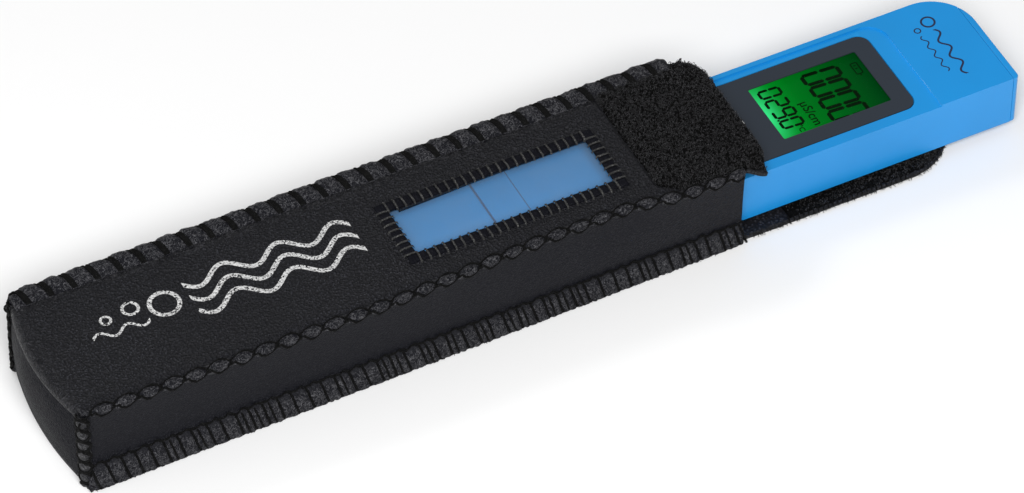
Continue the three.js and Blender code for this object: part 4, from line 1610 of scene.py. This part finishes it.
class WATER_TESTER_OT_housing(bpy.types.Operator):
    """Rounds and finishes the tester's housing"""

    bl_idname = "water_tester.housing"
    bl_label = "Housing"

    def execute(self, context):
        housing_shell()
        cap_shell()
        battery_door()
        dress("rear_cover", "housing")
        dip_groove_shade()
        return {"FINISHED"}


# ---- The display -----------------------------------------------------------------------------------

# Which of a digit's seven bars are lit, in the order top, top right, bottom right, bottom, bottom left,
# top left, middle.
DIGIT_BARS = {"0": "1111110", "2": "1101101", "9": "1111011"}
DIGIT_LEAN = 0.06  # sideways, as a share of the height
BAR_GAP = 0.012  # at a bar's end, as a share of its digit's size
BAR_THICKNESS = 0.02


def lit_bar(bm, start, end, half, z):
    """One pointed bar of a digit, between two points of the display."""
    along = (end - start).normalized()
    across = Vector((-along.y, along.x))
    tip = half * 0.9
    corners = [
        start,
        start + along * tip + across * half,
        end - along * tip + across * half,
        end,
        end - along * tip - across * half,
        start + along * tip - across * half,
    ]
    face = bm.faces.new([bm.verts.new(Vector((c.x, c.y, z)) * MM) for c in corners])
    raised = bmesh.ops.extrude_face_region(bm, geom=[face])
    for v in raised["geom"]:
        if isinstance(v, bmesh.types.BMVert):
            v.co.z += BAR_THICKNESS * MM


def digit(bm, figure, corner, height, width, half, z):
    """A figure that is read with +X up. corner is its lower left end, and it runs towards -Y."""

    def at(across, up):
        lean = DIGIT_LEAN * up * height
        return Vector((corner.x + up * height, corner.y - across * width - lean))

    gap = BAR_GAP
    bars = [
        (at(gap, 1), at(1 - gap, 1)),
        (at(1, 1 - gap), at(1, 0.5 + gap)),
        (at(1, 0.5 - gap), at(1, gap)),
        (at(gap, 0), at(1 - gap, 0)),
        (at(0, 0.5 - gap), at(0, gap)),
        (at(0, 1 - gap), at(0, 0.5 + gap)),
        (at(gap, 0.5), at(1 - gap, 0.5)),
    ]
    for lit, (start, end) in zip(DIGIT_BARS[figure], bars):
        if lit == "1":
            lit_bar(bm, start, end, half, z)


def unit_text(name, words, corner, size, z):
    """A unit of measurement, read with +X up, as a thin mesh."""
    curve = bpy.data.curves.new(name, "FONT")
    curve.body = words
    curve.size = size * MM
    curve.extrude = 0.01 * MM
    curve.offset = 0.03 * MM
    mesh = mesh_of(curve)
    turn = Matrix.Rotation(-math.pi / 2, 4, "Z")
    mesh.transform(Matrix.Translation(Vector((corner.x, corner.y, z)) * MM) @ turn)
    piece = link_piece(name, mesh, MATERIALS["segments"], "tester")


def reading(bm, figures, corner, pitch, height, width, half, z):
    """A row of digits from corner, one every pitch towards -Y. half is half the width of a bar."""
    for i, figure in enumerate(figures):
        digit(bm, figure, corner - Vector((0, pitch * i)), height, width, half, z)


def battery_mark(bm, corner, z):
    """A battery symbol in the corner of the display: its case, its nub and two bars of charge."""
    for a, b in (
        ((0, 0), (0, -3.4)),
        ((1.5, 0), (1.5, -3.4)),
        ((0, 0), (1.5, 0)),
        ((0, -3.4), (1.5, -3.4)),
        ((0.75, -3.5), (0.75, -4.1)),
        ((0.4, -0.8), (1.1, -0.8)),
        ((0.4, -1.7), (1.1, -1.7)),
    ):
        lit_bar(bm, corner + Vector(a), corner + Vector(b), 0.13, z)


class WATER_TESTER_OT_display(bpy.types.Operator):
    """Lights the display and draws its figures"""

    bl_idname = "water_tester.display"
    bl_label = "Display"

    def execute(self, context):
        for node, finish in (("lcd_panel", "lcd"), ("lens_plate", "acrylic"), ("face_label", "face")):
            dress(node, finish)
        z = LCD_TOP + 0.03
        x, y = SCREEN[0], SCREEN_HALF
        small_pitch = 3.3
        bm = bmesh.new()
        large = {"pitch": 4.02, "height": 8.4, "width": 2.9, "half": 0.47}
        small = {"pitch": small_pitch, "height": 4.8, "width": 2.2, "half": 0.34}
        reading(bm, "0000", Vector((x + 12.9, y - 0.6)), z=z, **large)
        reading(bm, "0290", Vector((x + 2.1, y - 0.7)), z=z, **small)
        dot = Vector((x + 2.1, y - 0.7 - small_pitch * 2.86))
        lit_bar(bm, dot - Vector((0.3, 0)), dot + Vector((0.4, 0)), 0.26, z)
        battery_mark(bm, Vector((x + 24.3, y - 2.0)), z)
        bmesh.ops.recalc_face_normals(bm, faces=bm.faces)
        figures = new_object("lcd_figures", bm, MATERIALS["segments"], "tester", smooth=False)
        unit_text("lcd_conductivity_unit", "µS/cm", Vector((x + 8.6, y - 7.3)), 3.1, z)
        unit_text("lcd_temperature_unit", "°C", Vector((x + 4.9, y - 13.3)), 1.8, z)
        return {"FINISHED"}


# ---- The keys and the inner parts ------------------------------------------------------------------

RING_INNER, RING_OUTER = 4.95, 5.5  # radii of the white ring round a key


class WATER_TESTER_OT_keys(bpy.types.Operator):
    """Finishes the three keys and lays a thin white ring round each"""

    bl_idname = "water_tester.keys"
    bl_label = "Keys"

    def execute(self, context):
        for word in ("power", "hold", "mode"):
            node = f"{word}_key"
            dress(node, "rubber")
            centre = (low(node) + high(node)) / 2
            bm = bmesh.new()
            bmesh.ops.create_circle(bm, segments=48, radius=RING_INNER * MM)
            widened = bmesh.ops.extrude_edge_only(bm, edges=bm.edges[:])
            outer = [v for v in widened["geom"] if isinstance(v, bmesh.types.BMVert)]
            bmesh.ops.scale(bm, vec=(RING_OUTER / RING_INNER,) * 3, verts=outer)
            bmesh.ops.translate(bm, vec=Vector((centre.x, centre.y, FACE + 0.01)) * MM, verts=bm.verts)
            name = f"{word}_key_ring"
            mark = new_object(name, bm, MATERIALS["white_ring"], "tester", outward=Vector((0, 0, 1)))
            thicken(mark, 0.02, offset=1.0)
        return {"FINISHED"}


INNER_FINISHES = {
    "black": ("lcd_frame", "neck_seal", "power_switch", "hold_switch", "mode_switch", "battery_tray"),
    "white": ("light_guide", "backlight_led", "probe_holder"),
    "rubber": ("contact_strip",),
    "board": ("circuit_board",),
    "chip": ("controller_chip",),
    "steel": (
        "crystal",
        "temperature_probe",
        "rear_screw",
        "near_screw",
        "far_screw",
        "outer_cell",
        "inner_cell",
    ),
    "titanium": ("electrode_left", "electrode_right"),
    "spring": ("plus_contact", "minus_contact", "bridge_contact"),
}


class WATER_TESTER_OT_inner_parts(bpy.types.Operator):
    """Finishes the probes, the electronics and the battery drawer"""

    bl_idname = "water_tester.inner_parts"
    bl_label = "Inner parts"

    def execute(self, context):
        for finish, nodes in INNER_FINISHES.items():
            for node in nodes:
                dress(node, finish)
        return {"FINISHED"}


# ---- The stage -------------------------------------------------------------------------------------


class WaterTesterStage(bpy.types.PropertyGroup):
    azimuth: FloatProperty(
        name="Azimuth",
        description="Direction that the camera looks from",
        subtype="ANGLE",
        default=math.radians(-27.35),
    )
    elevation: FloatProperty(
        name="Elevation",
        description="Height of the camera above the horizon",
        subtype="ANGLE",
        default=math.radians(46.87),
    )
    roll: FloatProperty(
        name="Roll", description="Turn about the line of sight", subtype="ANGLE", default=math.radians(0.52)
    )
    distance: FloatProperty(
        name="Distance", description="From the camera to its aim", unit="LENGTH", default=1.3334
    )
    lens: FloatProperty(name="Lens", description="Focal length in millimetres", default=217.5)
    exposure: FloatProperty(name="Light", description="Share of the full light", default=1.0, min=0.0)


FLOOR_HALF = 4.0  # metres
AIM = (0, 0, 0.01)  # where the lights point, in metres
TARGET = Vector((-0.00067, 0.00309, -0.00051))  # where the camera points, in metres


def area_light(name, spot, width, depth, power):
    """A soft rectangular light, in metres and watts."""
    light = bpy.data.lights.new(name, "AREA")
    light.shape = "RECTANGLE"
    light.size, light.size_y, light.energy = width, depth, power
    lamp = bpy.data.objects.new(name, light)
    lamp.location = spot
    lamp.rotation_mode = "QUATERNION"
    lamp.rotation_quaternion = (Vector(AIM) - Vector(spot)).to_track_quat("-Z", "Y")
    bpy.context.scene.collection.objects.link(lamp)


def lay_floor():
    """A wide pale floor that the case rests on."""
    bm = bmesh.new()
    bmesh.ops.create_grid(bm, x_segments=1, y_segments=1, size=FLOOR_HALF)
    material, tree, principled = shader("pale_floor", Roughness=0.7, Specular_IOR_Level=0.2)
    tone = cloud(tree, object_place(tree), 1.5, 2.0)["Fac"]
    pale = blend_colours(tree, tone, (0.9, 0.9, 0.9, 1), (0.92, 0.92, 0.92, 1))
    tree.links.new(pale, principled.inputs["Base Color"])
    new_object("floor", bm, material, None, smooth=False)


def light_world(strength):
    """An even white light from all round."""
    world = bpy.data.worlds.new("studio")
    bpy.context.scene.world = world
    world.use_nodes = True
    backdrop = world.node_tree.nodes["Background"]
    backdrop.inputs["Color"].default_value = (1, 1, 1, 1)
    backdrop.inputs["Strength"].default_value = strength


def aim_camera(stage):
    """The camera, on the side that the stage's angles give."""
    camera = bpy.data.cameras.new("camera")
    camera.lens, camera.sensor_width = stage.lens, 36.0
    camera.clip_start, camera.clip_end = 0.05, 20.0
    eye = bpy.data.objects.new("camera", camera)
    level = math.cos(stage.elevation)
    back = Vector(
        (math.sin(stage.azimuth) * level, -math.cos(stage.azimuth) * level, math.sin(stage.elevation))
    )
    eye.location = TARGET + back * stage.distance
    eye.rotation_mode = "QUATERNION"
    eye.rotation_quaternion = (-back).to_track_quat("-Z", "Y") @ Quaternion((0, 0, 1), stage.roll)
    bpy.context.scene.collection.objects.link(eye)
    bpy.context.scene.camera = eye


class WATER_TESTER_OT_stage(bpy.types.Operator):
    """Sets the pale floor, the soft lights and the camera"""

    bl_idname = "water_tester.stage"
    bl_label = "Stage"

    def execute(self, context):
        stage = context.scene.water_tester_stage
        lay_floor()
        light_world(strength=0.28 * stage.exposure)
        area_light("key", (-0.3, -0.7, 0.85), width=0.6, depth=0.45, power=13.5 * stage.exposure)
        area_light("side", (-0.9, 0.1, 0.3), width=0.45, depth=0.25, power=1.2 * stage.exposure)
        area_light("sheen", (-0.25, 0.75, 0.9), width=0.5, depth=0.25, power=2.0 * stage.exposure)
        aim_camera(stage)
        context.scene.view_settings.view_transform = "Standard"
        return {"FINISHED"}


class WATER_TESTER_OT_finishes(bpy.types.Operator):
    """Makes the shared effects and every finish"""

    bl_idname = "water_tester.finishes"
    bl_label = "Finishes"

    def execute(self, context):
        make_shared_effects()
        MATERIALS.update(make_materials(context.scene.water_tester_look))
        return {"FINISHED"}


# ---- The add-on ------------------------------------------------------------------------------------

STEPS = (
    WATER_TESTER_OT_finishes,
    WATER_TESTER_OT_case_leather,
    WATER_TESTER_OT_case_seams,
    WATER_TESTER_OT_window,
    WATER_TESTER_OT_loop_patch,
    WATER_TESTER_OT_flap,
    WATER_TESTER_OT_housing,
    WATER_TESTER_OT_display,
    WATER_TESTER_OT_keys,
    WATER_TESTER_OT_inner_parts,
    WATER_TESTER_OT_stage,
)


class WATER_TESTER_PT_panel(bpy.types.Panel):
    bl_label = "Water tester"
    bl_space_type = "VIEW_3D"
    bl_region_type = "UI"
    bl_category = "Water tester"

    def draw(self, context):
        for group in ("water_tester_look", "water_tester_case", "water_tester_stage"):
            settings = getattr(context.scene, group)
            for key in settings.bl_rna.properties.keys():
                if key not in ("rna_type", "name"):
                    self.layout.prop(settings, key)
        for step in STEPS:
            self.layout.operator(step.bl_idname)


GROUPS = {
    "water_tester_case": WaterTesterCase,
    "water_tester_look": WaterTesterLook,
    "water_tester_stage": WaterTesterStage,
}


def register():
    for cls in (*GROUPS.values(), *STEPS, WATER_TESTER_PT_panel):
        bpy.utils.register_class(cls)
    for name, group in GROUPS.items():
        setattr(bpy.types.Scene, name, PointerProperty(type=group))


def unregister():
    for name in GROUPS:
        delattr(bpy.types.Scene, name)
    for cls in reversed((*GROUPS.values(), *STEPS, WATER_TESTER_PT_panel)):
        bpy.utils.unregister_class(cls)


def main():
    register()
    for step in STEPS:
        family, action = step.bl_idname.split(".")
        getattr(getattr(bpy.ops, family), action)()


if __name__ == "__main__":
    main()
